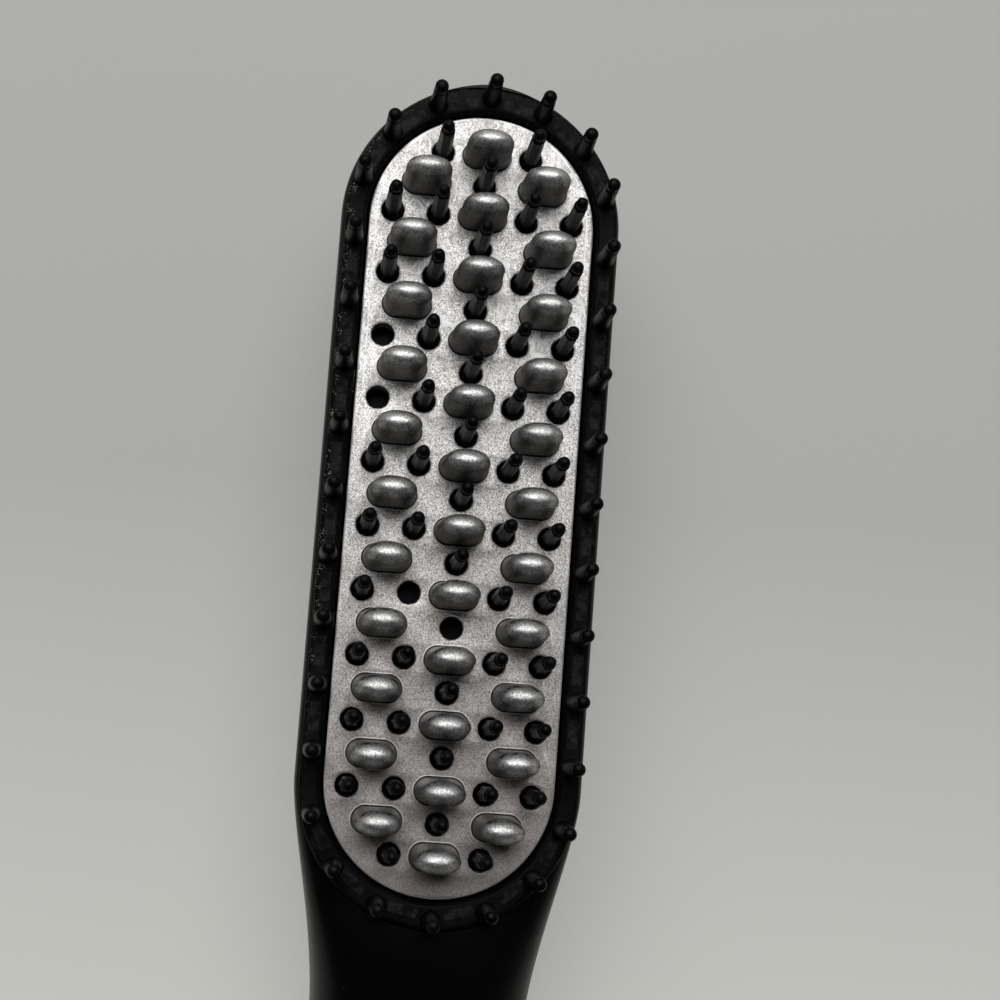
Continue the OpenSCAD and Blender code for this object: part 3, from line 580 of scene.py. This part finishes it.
housing = {
    "wall": 2.0 * mm,
    "faceAbove": 0.4 * mm,        # the head's edge stands this far above the heated face
    "wideBelow": 6 * mm,          # widest level of the head under the heated face
    "handleHalf": 15.2 * mm,
    "handleTop": 28 * mm,
    "neckLength": 35 * mm,
    "topFall": 30 * mm,
    "buttLength": 14 * mm,
    "buttScale": 0.62,
    "bellyLength": 30 * mm,
    "bellyLeast": 0.14,
    "baseDip": 0.35 * mm,
    "gripSwell": 0.6 * mm,
    "powers": (8, 3, 2.4),        # squareness of the head's top, the handle's top and the back
    "tipAngle": 87,
    "around": 112,
    "seamGap": 0.12 * mm,
    "wellDeep": 10 * mm,          # opening of the head, which ends above the seam
    "wellLedge": 1.1 * mm,
    "seatDeep": 1.2 * mm,
    "seatGap": 0.1 * mm,
    "buttWall": 8 * mm,
    "glandHole": (5.3 * mm, -2 * mm, 2 * mm),        # radius, start and end, inwards from the butt
    "collarHole": (7.53 * mm, 1.5 * mm, 9 * mm),
    "cutTop": 50 * mm,            # above everything, for cuts that are open at the top
    "far": 100 * mm,              # past the part on every side, twice that along it
}
gripY = head["neckY"] - housing["neckLength"]
domeY = head["buttY"] + housing["buttLength"]
axisZ = housing["handleTop"] / 2


def neckMix(y):
    return ease(clamp((head["neckY"] - y) / housing["neckLength"]) ** 0.8)


def wideLevel(y):
    return mix(head["faceTop"] - housing["wideBelow"], axisZ, neckMix(y))


def sectionSpot(y, inset, angle):
    grip = clamp((gripY - y) / (gripY - domeY))
    bottomMix = clamp((y - head["tipY"] + housing["bellyLength"]) / (housing["bellyLength"] - inset))
    belly = math.sqrt(max(housing["bellyLeast"] ** 2, 1 - bottomMix ** 2))
    buttMix = clamp((domeY - y) / (housing["buttLength"] - inset))
    k = housing["buttScale"] + (1 - housing["buttScale"]) * math.sqrt(max(0, 1 - buttMix ** 2))
    beyond = y - head["neckY"] - head["straight"]
    if beyond > 0:
        side = math.sqrt(max((0.1 * mm) ** 2, (head["shellR"] - inset) ** 2 - beyond ** 2))
    else:
        side = mix(head["shellR"], housing["handleHalf"], neckMix(y)) - inset
        side += housing["gripSwell"] * math.sin(math.pi * grip) ** 2
    headTop = head["faceTop"] + housing["faceAbove"]
    top = mix(headTop, housing["handleTop"], ease((head["endY"] - y) / housing["topFall"]))
    level = wideLevel(y)
    up = math.sin(angle) >= 0
    headPower, handlePower, lowPower = housing["powers"]
    power = mix(headPower, handlePower, neckMix(y)) if up else lowPower
    reach = top - inset - level if up else (level + housing["baseDip"] - inset) * belly
    edge = lambda c: math.copysign(abs(c) ** (2 / power), c)
    return Vector((side * k * edge(math.cos(angle)), y, level + reach * k * edge(math.sin(angle))))


def stationList(inset):
    # from the tip: round end, head, neck, grip and butt
    tipBase = head["neckY"] + head["straight"]
    tipAngles = [math.radians(housing["tipAngle"] * (1 - i / 24)) for i in range(25)]
    ys = [tipBase + (head["shellR"] - inset) * math.sin(a) for a in tipAngles]
    ys += [mix(tipBase, head["neckY"], i / 20) for i in range(1, 21)]
    ys += [head["neckY"] - housing["neckLength"] * i / 28 for i in range(1, 29)]
    ys += [mix(gripY, domeY, i / 24) for i in range(1, 25)]
    buttAngles = [math.radians(6 * i) for i in range(1, 16)]
    return ys + [domeY - (housing["buttLength"] - inset) * math.sin(a) for a in buttAngles]


def bodyForm(name, inset):
    angles = [2 * math.pi * (i + 0.5) / housing["around"] for i in range(housing["around"])]
    return growRings(name, [[sectionSpot(y, inset, a) for a in angles] for y in stationList(inset)])


def block(name, low, high):
    dropSelection()
    bpy.ops.mesh.primitive_cube_add(size=1)
    piece = bpy.context.object
    piece.name = name
    centre = (Vector(low) + Vector(high)) / 2
    size = Vector(high) - Vector(low)
    piece.data.transform(Matrix.Translation(centre) @ Matrix.Diagonal((*size, 1)))
    return piece


def layerBlock(name, low, high):
    # everything between two levels
    far = housing["far"]
    return block(name, (-far, -2 * far, low), (far, 2 * far, high))


def buttHole(name, hole):
    radius, start, end = hole
    profile = [(radius, head["buttY"] + start), (radius, head["buttY"] + end)]
    return turned(name, profile, (0, 0, axisZ), axis="Y")


def stadiumOutline(radius, length, steps=48):
    return roundBox(0, head["middleY"], radius, length / 2 + radius, radius, steps)


def prism(name, outline, low, high):
    rings = [[Vector((x, y, z)) for x, y in outline] for z in (low, high)]
    return growRings(name, rings)


panelLow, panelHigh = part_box("control_panel")
windowLow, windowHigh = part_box("display_window")
buttonNames = ("plus_button", "minus_button", "power_button")
buttonBoxes = {name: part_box(name) for name in buttonNames}
buttonY = {name: (low.y + high.y) / 2 for name, (low, high) in buttonBoxes.items()}
controls = {
    "floor": 1.5 * mm, "floorLap": 1.2 * mm, "recessGap": 0.1 * mm,
    "windowLedge": 0.7 * mm, "windowGap": 0.05 * mm, "windowRound": 0.6 * mm,
    "buttonHoleR": 4.3 * mm, "capR": 4.1 * mm, "capEdge": 0.45 * mm, "dish": 0.22 * mm,
    "flangeOut": 1.1 * mm, "flangeHigh": 1.2 * mm,
    "signReach": 1.6 * mm, "signHalf": 0.25 * mm, "signHigh": 0.06 * mm,
}
windowMiddle = (windowLow.y + windowHigh.y) / 2
windowHalf = (windowHigh.x, (windowHigh.y - windowLow.y) / 2)
panelMiddle = (panelLow.y + panelHigh.y) / 2
panelHalf = (panelHigh.y - panelLow.y) / 2


def panelOutline(grow=0.0):
    half = panelHigh.x + grow
    return roundBox(0, panelMiddle, half, panelHalf + grow, half, 24)


def buttonHoles(steps):
    return [disc(0, y, controls["buttonHoleR"], steps) for y in buttonY.values()]


def makePanelFloor():
    half = [side - controls["windowLedge"] for side in windowHalf]
    windowHole = roundBox(0, windowMiddle, *half, 0.5 * mm, 4)
    floor = sheetPiece("panelFloor", [panelOutline(controls["floorLap"]), windowHole, *buttonHoles(10)],
                       panelLow.z - controls["floor"], panelLow.z, 0.05 * mm, 1)
    return shade(floor, 35, True)


def makeHousing():
    skin = bodyForm("housingForm", 0)
    hollow = bodyForm("housingHollow", housing["wall"])
    top, butt = housing["cutTop"], head["buttY"]
    cut(hollow, block("buttPlug", (-top, butt - 10 * mm, -top), (top, butt + housing["buttWall"], top)))
    cut(skin, hollow)
    cut(skin, buttHole("glandBore", housing["glandHole"]))
    cut(skin, buttHole("collarBore", housing["collarHole"]))
    front, back = copyTo(skin, (0, 0, 0)), skin
    gap = housing["seamGap"] / 2
    cut(front, layerBlock("lowerHalf", -housing["far"], head["seamZ"] + gap))
    cut(back, layerBlock("belowTable", -housing["far"], 0))
    cut(back, layerBlock("upperHalf", head["seamZ"] - gap, housing["far"]))
    wellOutline = stadiumOutline(head["rimR"] - housing["wellLedge"], head["straight"])
    cut(front, prism("rimWell", wellOutline, head["faceTop"] - housing["wellDeep"], top))
    seatOutline = stadiumOutline(head["rimR"] + housing["seatGap"], head["straight"])
    cut(front, prism("rimSeat", seatOutline, head["faceTop"] - housing["seatDeep"], top))
    cut(front, prism("panelRecess", panelOutline(controls["recessGap"]), panelLow.z, top))
    floor = makePanelFloor()
    for x, y in screwSpots:
        profile = [(screwBore["r"], -1 * mm), (screwBore["r"], screwSeat(x, y))]
        cut(back, turned("screwRecess", profile, (x, y, 0), 32))
    shade(front, 32, True)
    shade(back, 32, True)
    front = join("frontHousing", [front, floor])
    back.name = "backHousing"
    return front, back


screwBore = {"r": 2.3 * mm, "headHigh": 1.6 * mm, "apart": 5 * mm}


def screwCentres():
    # middles of the six screws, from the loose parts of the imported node
    spots = []
    for v in nodes["shell_screws"].data.vertices:
        for i, (x, y, count) in enumerate(spots):
            if math.dist((v.co.x, v.co.y), (x / count, y / count)) < screwBore["apart"]:
                spots[i] = (x + v.co.x, y + v.co.y, count + 1)
                break
        else:
            spots.append((v.co.x, v.co.y, 1))
    return [(x / count, y / count) for x, y, count in spots]


def screwSeat(x, y):
    low = min(v.co.z for v in nodes["shell_screws"].data.vertices
              if math.dist((v.co.x, v.co.y), (x, y)) < screwBore["apart"])
    return low + screwBore["headHigh"]


screwSpots = screwCentres()
frontHousing, backHousing = makeHousing()
finish(frontHousing, satinAbs, "body", "housing_plastic", "front_shell")
finish(backHousing, satinAbs, "body", "housing_plastic", "back_shell")
print("housing made", len(screwSpots), "screws")


# Comb pins: a taper, a shoulder and a round tip, modelled once and copied

pins = {
    "rootR": 1.26 * mm, "neckR": 1.0 * mm, "innerTipR": 0.83 * mm, "rimTipR": 0.95 * mm,
    "tipLength": 2.0 * mm, "knobRound": 0.8 * mm, "flutes": 6, "fluteDeep": 0.16 * mm, "innerBelow": 4.6 * mm,
    "rimHeight": 9 * mm, "innerHeight": 12.2 * mm, "lean": 1.5,
    "footR": 1.45 * mm, "footHeight": 0.8 * mm,
    "rimPitch": 9 * mm, "rimAngle": 25, "segments": 36,
}
rows = {
    "pitch": 4.5 * mm, "middle": 11,                 # rows are counted from 0 at the tip
    "columns": (0, 6.29 * mm, 12.78 * mm),           # of the pins, from the middle outwards
    "side": 9.73 * mm, "sideEnd": 8.3 * mm,          # of the outer bumps, and of the first and last of them
    "missing": {(6, -2), (8, -2), (14, -1), (15, 0)},
}
pinLineR = (head["rimR"] + head["plateR"] + 0.4 * mm) / 2


def pinProfile(low, top, rootR, tip):
    # slightly waisted taper, a round shoulder, a groove and a round knob
    shoulder, neck, knob = top - pins["tipLength"], pins["neckR"], pins["knobRound"]
    steps = [
        (rootR, low), (mix(rootR, neck, 0.4), mix(low, shoulder, 0.25)),
        (mix(rootR, neck, 0.75), mix(low, shoulder, 0.6)), (neck, shoulder - 0.5 * mm),
        (neck - 0.03 * mm, shoulder - 0.2 * mm), (neck - 0.12 * mm, shoulder),
        (tip - 0.1 * mm, shoulder + 0.1 * mm), (tip - 0.09 * mm, shoulder + 0.3 * mm),
        (tip, shoulder + 0.5 * mm), (tip, top - knob),
    ]
    for i in range(1, 8):
        a = math.radians(90 * i / 8)
        steps.append((tip * math.cos(a), top - knob * (1 - math.sin(a))))
    steps.append((0.04 * mm, top))
    return steps


def rowY(row):
    return head["middleY"] + (rows["middle"] - row) * rows["pitch"]


def pinSpot(row, column):
    return math.copysign(rows["columns"][abs(column)], column), rowY(row)


def pinPlaces():
    last = 2 * rows["middle"]
    for row in range(last + 1):
        for column in ([0] if row % 2 else [-2, -1, 1, 2] if 2 <= row <= last - 2 else [-1, 1]):
            if (row, column) not in rows["missing"]:
                yield pinSpot(row, column)


def flute(piece, top):
    # shallow flutes down the shaft, running out under the shoulder
    for v in piece.data.vertices:
        if v.co.z < top:
            deep = pins["fluteDeep"] * (0.5 - 0.5 * math.cos(pins["flutes"] * math.atan2(v.co.y, v.co.x)))
            r = math.hypot(v.co.x, v.co.y)
            v.co.x, v.co.y = v.co.x * (1 - deep / r), v.co.y * (1 - deep / r)


def leaning(piece, footLevel, degrees):
    # the pins lean a little towards the tip of the head
    for v in piece.data.vertices:
        v.co.y += (v.co.z - footLevel) * math.tan(math.radians(degrees))


def makeInnerPins():
    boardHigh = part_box("pin_board")[1]
    base = head["faceTop"] - pins["innerBelow"]
    top = head["faceTop"] + pins["innerHeight"]
    pin = turned("innerPin", pinProfile(base, top, pins["rootR"] + 0.06 * mm, pins["innerTipR"]),
                 (0, 0, 0), pins["segments"])
    flute(pin, top - pins["tipLength"] - 0.3 * mm)
    leaning(pin, base, pins["lean"])
    shade(pin, 50)
    copies = [copyTo(pin, (x, y, 0)) for x, y in pinPlaces()]
    remove(pin)
    outline = stadiumOutline(boardHigh.x, head["faceStraight"], 32)
    board = sheetPiece("pinBoard", [outline], base - 1.8 * mm, base + 0.2 * mm, 0.2 * mm)
    shade(board, 35, True)
    return join("innerPins", [board, *copies])


finish(makeInnerPins(), pinNylon, "body", "comb_plastic", "pin_board")
print("inner pins made")


# Comb rim: a rounded band round the face, its flared pins and the pads between them

rim = {
    "innerR": head["plateR"] + 0.4 * mm, "top": 0.8 * mm, "under": 3 * mm,
    "outerRound": 0.75 * mm, "innerRound": 0.8 * mm, "roundSteps": 6,
    "endSteps": 48, "sideSteps": 12,
    "padWide": 1.4 * mm, "padLong": 4.2 * mm, "padHigh": 0.03 * mm,
}
rimTop = head["faceTop"] + rim["top"]


def rimSection():
    # closed outline of (radius, level, length of the stadium's straight side), outer side first
    outer, inner, low = head["rimR"], rim["innerR"], rimTop - rim["under"]
    long, short = head["straight"], head["faceStraight"]
    big, small, steps = rim["outerRound"], rim["innerRound"], rim["roundSteps"]
    outerSide = [(outer, low)] + arcPoints(outer - big, rimTop - big, big, 0, 90, steps)
    innerSide = arcPoints(inner + small, rimTop - small, small, 90, 180, steps) + [(inner, low)]
    return [(r, z, long) for r, z in outerSide] + [(r, z, short) for r, z in innerSide]


def rimRings():
    # the section stands at each station round the stadium, facing outwards
    stations = [(side, 0, start + 180 * i / rim["endSteps"])
                for side, start in ((1, 0), (-1, 180)) for i in range(rim["endSteps"] + 1)]
    sides = {1: [(0, 1 - 2 * i / rim["sideSteps"], 180) for i in range(1, rim["sideSteps"])],
             -1: [(0, -1 + 2 * i / rim["sideSteps"], 0) for i in range(1, rim["sideSteps"])]}
    first = rim["endSteps"] + 1
    for end, along, degrees in stations[:first] + sides[1] + stations[first:] + sides[-1]:
        a = math.radians(degrees)
        yield [Vector((math.cos(a) * r, head["middleY"] + (end or along) * length / 2 + math.sin(a) * r, z))
               for r, z, length in rimSection()]


def spotsAround(radius, length, shift):
    # places by the comb's pitch along both sides and round both ends, with their outward angles;
    # shifted by half a pitch there is one place less on each side and end
    for side in (1, -1):
        for i in range(-4, 4 if shift else 5):
            y = head["middleY"] + (i + shift) * pins["rimPitch"]
            yield Vector((side * radius, y, 0)), 0 if side > 0 else math.pi
        for i in range(-3, 3 if shift else 4):
            a = math.radians(90 * side + (i + shift) * pins["rimAngle"])
            y = head["middleY"] + side * length / 2 + radius * math.sin(a)
            yield Vector((radius * math.cos(a), y, 0)), a


def makeRim():
    band = growRings("combRim", list(rimRings()), closed=True)
    return shade(band, 40, True)


def makeRimPins():
    top = rimTop + pins["rimHeight"]
    flare = pins["footR"] - pins["rootR"]
    edge, footTop = rimTop + 0.15 * mm, rimTop + pins["footHeight"]
    foot = [(pins["footR"], rimTop - 0.2 * mm), (pins["footR"], edge)]
    for i in range(1, 9):
        a = math.radians(90 * i / 8)
        foot.append((pins["footR"] - flare * math.sin(a), edge + (footTop - edge) * (1 - math.cos(a))))
    body = pinProfile(footTop, top, pins["rootR"], pins["rimTipR"])[1:]
    pin = turned("rimPin", foot + body, (0, 0, 0), pins["segments"])
    shade(pin, 50)
    copies = [copyTo(pin, spot) for spot, angle in spotsAround(pinLineR, head["straight"], 0)]
    remove(pin)
    return join("rimPins", copies)


def makePads():
    # on the inner half of the band, midway between neighbouring pins
    padR = rim["innerR"] + rim["innerRound"] + rim["padWide"] / 2
    pad = sheetPiece("rimPad", [roundBox(0, 0, rim["padWide"] / 2, rim["padLong"] / 2, 0.25 * mm, 4)],
                     rimTop - 0.1 * mm, rimTop + rim["padHigh"], 0.02 * mm, 1)
    shade(pad, 35, True)
    copies = [copyTo(pad, spot, angle) for spot, angle in spotsAround(padR, head["faceStraight"], 0.5)]
    remove(pad)
    return join("rimPads", copies)


finish(makeRim(), rimNylon, "body", "comb_plastic", "comb_rim")
finish(makeRimPins(), pinNylon, "body", "comb_plastic")
finish(makePads(), padNylon, "body", "comb_plastic")
print("comb rim made")


# Face plate: coated sheet with holes for pins and bumps

face = {
    "holeR": 1.6 * mm, "bumpWide": 7 * mm, "bumpDeep": 3.88 * mm, "bumpGap": 0.1 * mm,
    "rounding": 0.28 * mm, "bumpHigh": 9.7 * mm, "crownR": 1.82 * mm, "crownRise": 3.0 * mm,
    "wallCore": 0.9, "crownCore": 0.4,          # share of the bump's straight at the wall's and crown's top
    "beadOut": 0.26 * mm, "beadIn": 0.08 * mm, "beadHigh": 0.04 * mm,
    "uneven": 0.04 * mm, "holeSteps": 72, "slabGap": 0.1 * mm,
    "wallOval": 0.75,                           # share of an oval in the outline at the wall's top
}


def bumpPlaces():
    last = 2 * rows["middle"]
    for row in range(last + 1):
        if row % 2 == 0:
            yield 0, rowY(row)
        else:
            across = rows["sideEnd"] if row in (1, last - 1) else rows["side"]
            yield -across, rowY(row)
            yield across, rowY(row)


def holePlaces():
    return list(pinPlaces()) + [pinSpot(row, column) for row, column in rows["missing"]]


def unevenHole(x, y):
    # the coat's edge wanders a little, in each hole in its own way
    turn, points = x / mm * 3.1 + y / mm * 1.7, []
    waves = ((0.5, 5, 1), (0.5, 11, 2.3), (0.4, 17, 3.1))          # height, lobes, share of the turn
    for i in range(face["holeSteps"]):
        a = 2 * math.pi * i / face["holeSteps"]
        wander = sum(high * math.sin(lobes * a + share * turn) for high, lobes, share in waves)
        r = face["holeR"] + face["uneven"] * wander
        points.append((x + r * math.cos(a), y + r * math.sin(a)))
    return points


def makeFace():
    half = (face["bumpWide"] / 2, face["bumpDeep"] / 2)
    outlines = [stadiumOutline(head["plateR"], head["faceStraight"])]
    outlines += [roundBox(x, y, half[0], half[1], half[1], 12) for x, y in bumpPlaces()]
    outlines += [unevenHole(x, y) for x, y in holePlaces()]
    plate = sheetPiece("plateSheet", outlines, plateLow.z, plateHigh.z, face["rounding"])
    # the coat has a low bead round each bump's opening
    beadOutlines = [roundBox(x, y, half[0] + out, half[1] + out, half[1] + out, 12)
                    for x, y in bumpPlaces() for out in (face["beadOut"], face["beadIn"])]
    beads = sheetPiece("coatBeads", beadOutlines, head["faceTop"] - 0.25 * mm,
                       head["faceTop"] + face["beadHigh"], 0.05 * mm, 1)
    return shade(join("facePlate", [plate, beads]), 40, True)


finish(makeFace(), silverCoat, "body", "coated_plate", "face_plate")


def bumpRings():
    # pill-shaped rings up the drafted wall and over the rounded crown
    rootR = face["bumpDeep"] / 2 - face["bumpGap"]
    core = (face["bumpWide"] - face["bumpDeep"]) / 2
    top = head["faceTop"] + face["bumpHigh"]
    wallTop = top - face["crownRise"]
    levels = [(rootR, plateLow.z - 0.2 * mm), (rootR, head["faceTop"])]
    levels += [(mix(rootR, face["crownR"], u), mix(head["faceTop"], wallTop, u))
               for u in (0.03, 0.35, 0.7, 0.93, 1)]
    for i in range(1, 12):
        a = math.radians(90 * i / 12)
        levels.append((face["crownR"] * math.cos(a), wallTop + face["crownRise"] * math.sin(a)))
    for radius, z in levels:
        # the crown shortens as it rises, so that its ends are round too
        onWall = clamp((z - head["faceTop"]) / (wallTop - head["faceTop"]))
        onCrown = 1 - math.sqrt(1 - clamp((z - wallTop) / face["crownRise"]) ** 2)
        half = core * mix(mix(1, face["wallCore"], onWall), face["crownCore"], onCrown)
        # the pill turns into an oval on the way up
        oval = mix(face["wallOval"] * onWall, 1, onCrown)
        ring = []
        for side, start in ((1, -90), (-1, 90)):
            for x, y in arcPoints(0, 0, radius, start, start + 180, 14):
                ring.append(Vector((side * half * mix(1, abs(x) / radius, oval) + x, y, z)))
        yield ring


def makeBumps():
    bump = growRings("bump", list(bumpRings()))
    shade(bump, 60)
    copies = [copyTo(bump, (x, y, 0)) for x, y in bumpPlaces()]
    remove(bump)
    holes = [disc(x, y, face["holeR"] + face["slabGap"], 6) for x, y in holePlaces()]
    outlines = [stadiumOutline(head["plateR"] - 0.2 * mm, head["faceStraight"], 32), *holes]
    slab = sheetPiece("castSlab", outlines, plateLow.z - 2 * mm, plateLow.z - 0.02 * mm, 0.1 * mm, 1)
    shade(slab, 35, True)
    return join("castBumps", [slab, *copies])


finish(makeBumps(), castMetal, "body", "cast_aluminium", "heat_spreader")
print("face made")


# Controls: panel, window and three buttons

def windowOutline(grow=0.0):
    half = [side + grow for side in windowHalf]
    return roundBox(0, windowMiddle, *half, controls["windowRound"], 6)


def makePanel():
    outlines = [panelOutline(), windowOutline(controls["windowGap"]), *buttonHoles(12)]
    return shade(sheetPiece("controlPanel", outlines, panelLow.z, panelHigh.z, 0.25 * mm), 40, True)


def makeWindow():
    window = sheetPiece("displayWindow", [windowOutline()], windowLow.z, windowHigh.z, 0.18 * mm)
    return shade(window, 40, True)


finish(makePanel(), blackGloss, "body", "panel_gloss", "control_panel")
finish(makeWindow(), smokedWindow, "body", "window_clear", "display_window")


def capProfile(low, high):
    # retaining flange, wall, rounded edge and a shallow finger dish
    capR, edge, dish = controls["capR"], controls["capEdge"], controls["dish"]
    flangeR, flangeTop = capR + controls["flangeOut"], low + controls["flangeHigh"]
    steps = [(flangeR, low), (flangeR, flangeTop), (capR, flangeTop), (capR, high - edge)]
    steps += arcPoints(capR - edge, high - edge, edge, 0, 90, 6)[1:]
    return steps + [((capR - edge) * u, high - dish * (1 - u * u)) for u in (0.85, 0.65, 0.45, 0.25, 0.06)]


def markOutlines(name):
    # generic plus, minus and power signs, as outlines round the button's middle
    reach, half = controls["signReach"], controls["signHalf"]
    bar = [(-reach, -half), (reach, -half), (reach, half), (-reach, half)]
    if name == "minus_button":
        return [bar]
    if name == "plus_button":
        return [[(-reach, -half), (-half, -half), (-half, -reach), (half, -reach), (half, -half),
                 (reach, -half), (reach, half), (half, half), (half, reach), (-half, reach),
                 (-half, half), (-reach, half)]]
    ringOuter = arcPoints(0, 0, reach, 120, 420, 30)
    ringInner = arcPoints(0, 0, reach - 2 * half, 420, 120, 30)
    stem = [(-half, 0.6 * mm), (half, 0.6 * mm), (half, reach + 0.4 * mm), (-half, reach + 0.4 * mm)]
    return [ringOuter + ringInner, stem]


for buttonName in buttonNames:
    low, high = buttonBoxes[buttonName]
    cap = turned(buttonName + "Cap", capProfile(low.z, high.z), (0, buttonY[buttonName], 0), 56)
    shade(cap, 40)
    finish(cap, buttonAbs, buttonName, "button_plastic", buttonName)
    outlines = [[(x, y + buttonY[buttonName]) for x, y in outline] for outline in markOutlines(buttonName)]
    dish = high.z - 0.2 * mm
    signTop = dish + controls["signHigh"]
    mark = sheetPiece(buttonName + "Mark", outlines, dish - 0.1 * mm, signTop, 0.02 * mm, 1)
    shade(mark, 35, True)
    finish(mark, paleInk, buttonName, "button_plastic")
print("controls made")


# Swivel gland, with rounded ribs

gland = {
    "boreR": 3.3 * mm, "neckR": 5 * mm, "tipR": 4.4 * mm, "flangeR": 6.8 * mm, "flangeThick": 2.4 * mm,
    "ribs": 4, "rib": 1.1 * mm,
}


def makeGland():
    # closed profile: up the bore, round the outer end, over the ribs, the neck and the flange
    low, high = [corner.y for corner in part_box("swivel_gland")]
    boreR, neckR, tipR, flangeR = gland["boreR"], gland["neckR"], gland["tipR"], gland["flangeR"]
    butt, flangeEnd = head["buttY"], high - gland["flangeThick"]
    out = [(boreR, high), (boreR, low + 0.4 * mm), (boreR + 0.3 * mm, low + 0.05 * mm),
           (tipR - 0.5 * mm, low), (tipR - 0.15 * mm, low + 0.15 * mm)]
    for i in range(gland["ribs"]):
        start = low + i * 2 * gland["rib"] + 0.2 * mm
        wide = mix(tipR, neckR - 0.2 * mm, (start - low) / (butt - low))
        for along, r in ((0, wide - 0.12 * mm), (0.18, wide), (0.95, wide + 0.03 * mm),
                         (1.12, wide - 0.1 * mm), (1.25, tipR - 0.25 * mm), (1.9, tipR - 0.25 * mm)):
            out.append((r, start + along * mm))
    out += [(neckR - 0.2 * mm, butt - 0.9 * mm), (neckR, butt - 0.3 * mm), (neckR, flangeEnd),
            (flangeR - 0.2 * mm, flangeEnd), (flangeR, high - 2.2 * mm), (flangeR, high - 0.2 * mm),
            (flangeR - 0.2 * mm, high)]
    piece = turned("swivelGland", out, (0, 0, axisZ), 56, axis="Y", closed=True)
    return shade(piece, 40)


finish(makeGland(), blackRubber, "swivel", "gland_rubber", "swivel_gland")
print("gland made")


# Floor and light

stage = {
    "floorTop": "#b1b1ae", "floorBottom": "#dcdcd6", "bottomAt": -60 * mm, "topAt": 70 * mm, "fibreMm": 1.5,
    "ownLight": 0.5,        # share of the floor's brightness that is its own, so that its shadow stays soft
    "roomLow": "#d8d8d8", "roomHigh": "#1e1e1e", "brightWay": (0.42, 0.91, 0.0),
}
dropSelection()
bpy.ops.mesh.primitive_plane_add(size=1)
floor = bpy.context.object
floor.name = "floor"
floor.data.transform(Matrix.Diagonal((3, 3, 1, 1)))
floorLook, tree, place = newMaterial("palePaper", Roughness=0.95, Specular_IOR_Level=0.1)
# painted shade: the floor is painted darker towards the head's tip and paler towards the handle
tone = addNode(tree, "SeparateXYZ", (place,), "Y", (stage["bottomAt"], stage["topAt"]))
colour = addNode(tree, "Mix", {0: tone, 6: stage["floorBottom"], 7: stage["floorTop"]}, 2, data_type="RGBA")
fibre = addNode(tree, "TexNoise", sized(place, stage["fibreMm"], Detail=3.0))
paper = addNode(tree, "Mix", {0: stage["ownLight"], 6: colour, 7: "#000000"}, 2, data_type="RGBA")
# the floor gives light only where it is seen directly, in a reflection or through a clear piece
seen = addNode(tree, "LightPath", out="Is Camera Ray")
for ray in ("Is Glossy Ray", "Is Transmission Ray"):
    seen = addNode(tree, "Math", (seen, addNode(tree, "LightPath", out=ray)), operation="ADD")
own = addNode(tree, "Math", (seen, stage["ownLight"]), operation="MULTIPLY")
fibreBump = addNode(tree, "Bump", {"Height": fibre, "Distance": 0.03 * mm, "Strength": 0.15})
feed(tree, Base_Color=paper, Emission_Color=colour, Emission_Strength=own, Normal=fibreBump)
floor.data.materials.append(floorLook)

window = {"place": (-0.10, 0.58, 0.86), "aim": (0, 0.05, 0.03), "wide": 0.95, "high": 0.85, "watts": 11.8}
lamp = bpy.data.lights.new("farWindow", "AREA")
lamp.shape, lamp.size, lamp.size_y, lamp.energy = "RECTANGLE", window["wide"], window["high"], window["watts"]
farWindow = newObject("farWindow", lamp)
facing = (Vector(window["aim"]) - Vector(window["place"])).to_track_quat("-Z", "Y")
farWindow.matrix_world = Matrix.Translation(window["place"]) @ facing.to_matrix().to_4x4()

# the room is bright low down, most of all on the window's side and to the right, and dim straight above
world = bpy.data.worlds.new("studio")
bpy.context.scene.world = world
world.use_nodes = True
sky = world.node_tree
way = addNode(sky, "TexCoord", out="Generated")
up = addNode(sky, "SeparateXYZ", (way,), "Z", (0.1, 0.7))
tone = addNode(sky, "Mix", {0: up, 6: stage["roomLow"], 7: stage["roomHigh"]}, 2, data_type="RGBA")
away = addNode(sky, "VectorMath", (way, stage["brightWay"]), "Value", (-0.8, 0.6, 0.1, 0.62),
               operation="DOT_PRODUCT")
sky.links.new(tone, sky.nodes["Background"].inputs["Color"])
sky.links.new(away, sky.nodes["Background"].inputs["Strength"])
bpy.context.scene.view_settings.view_transform = "Standard"
print("stage set")
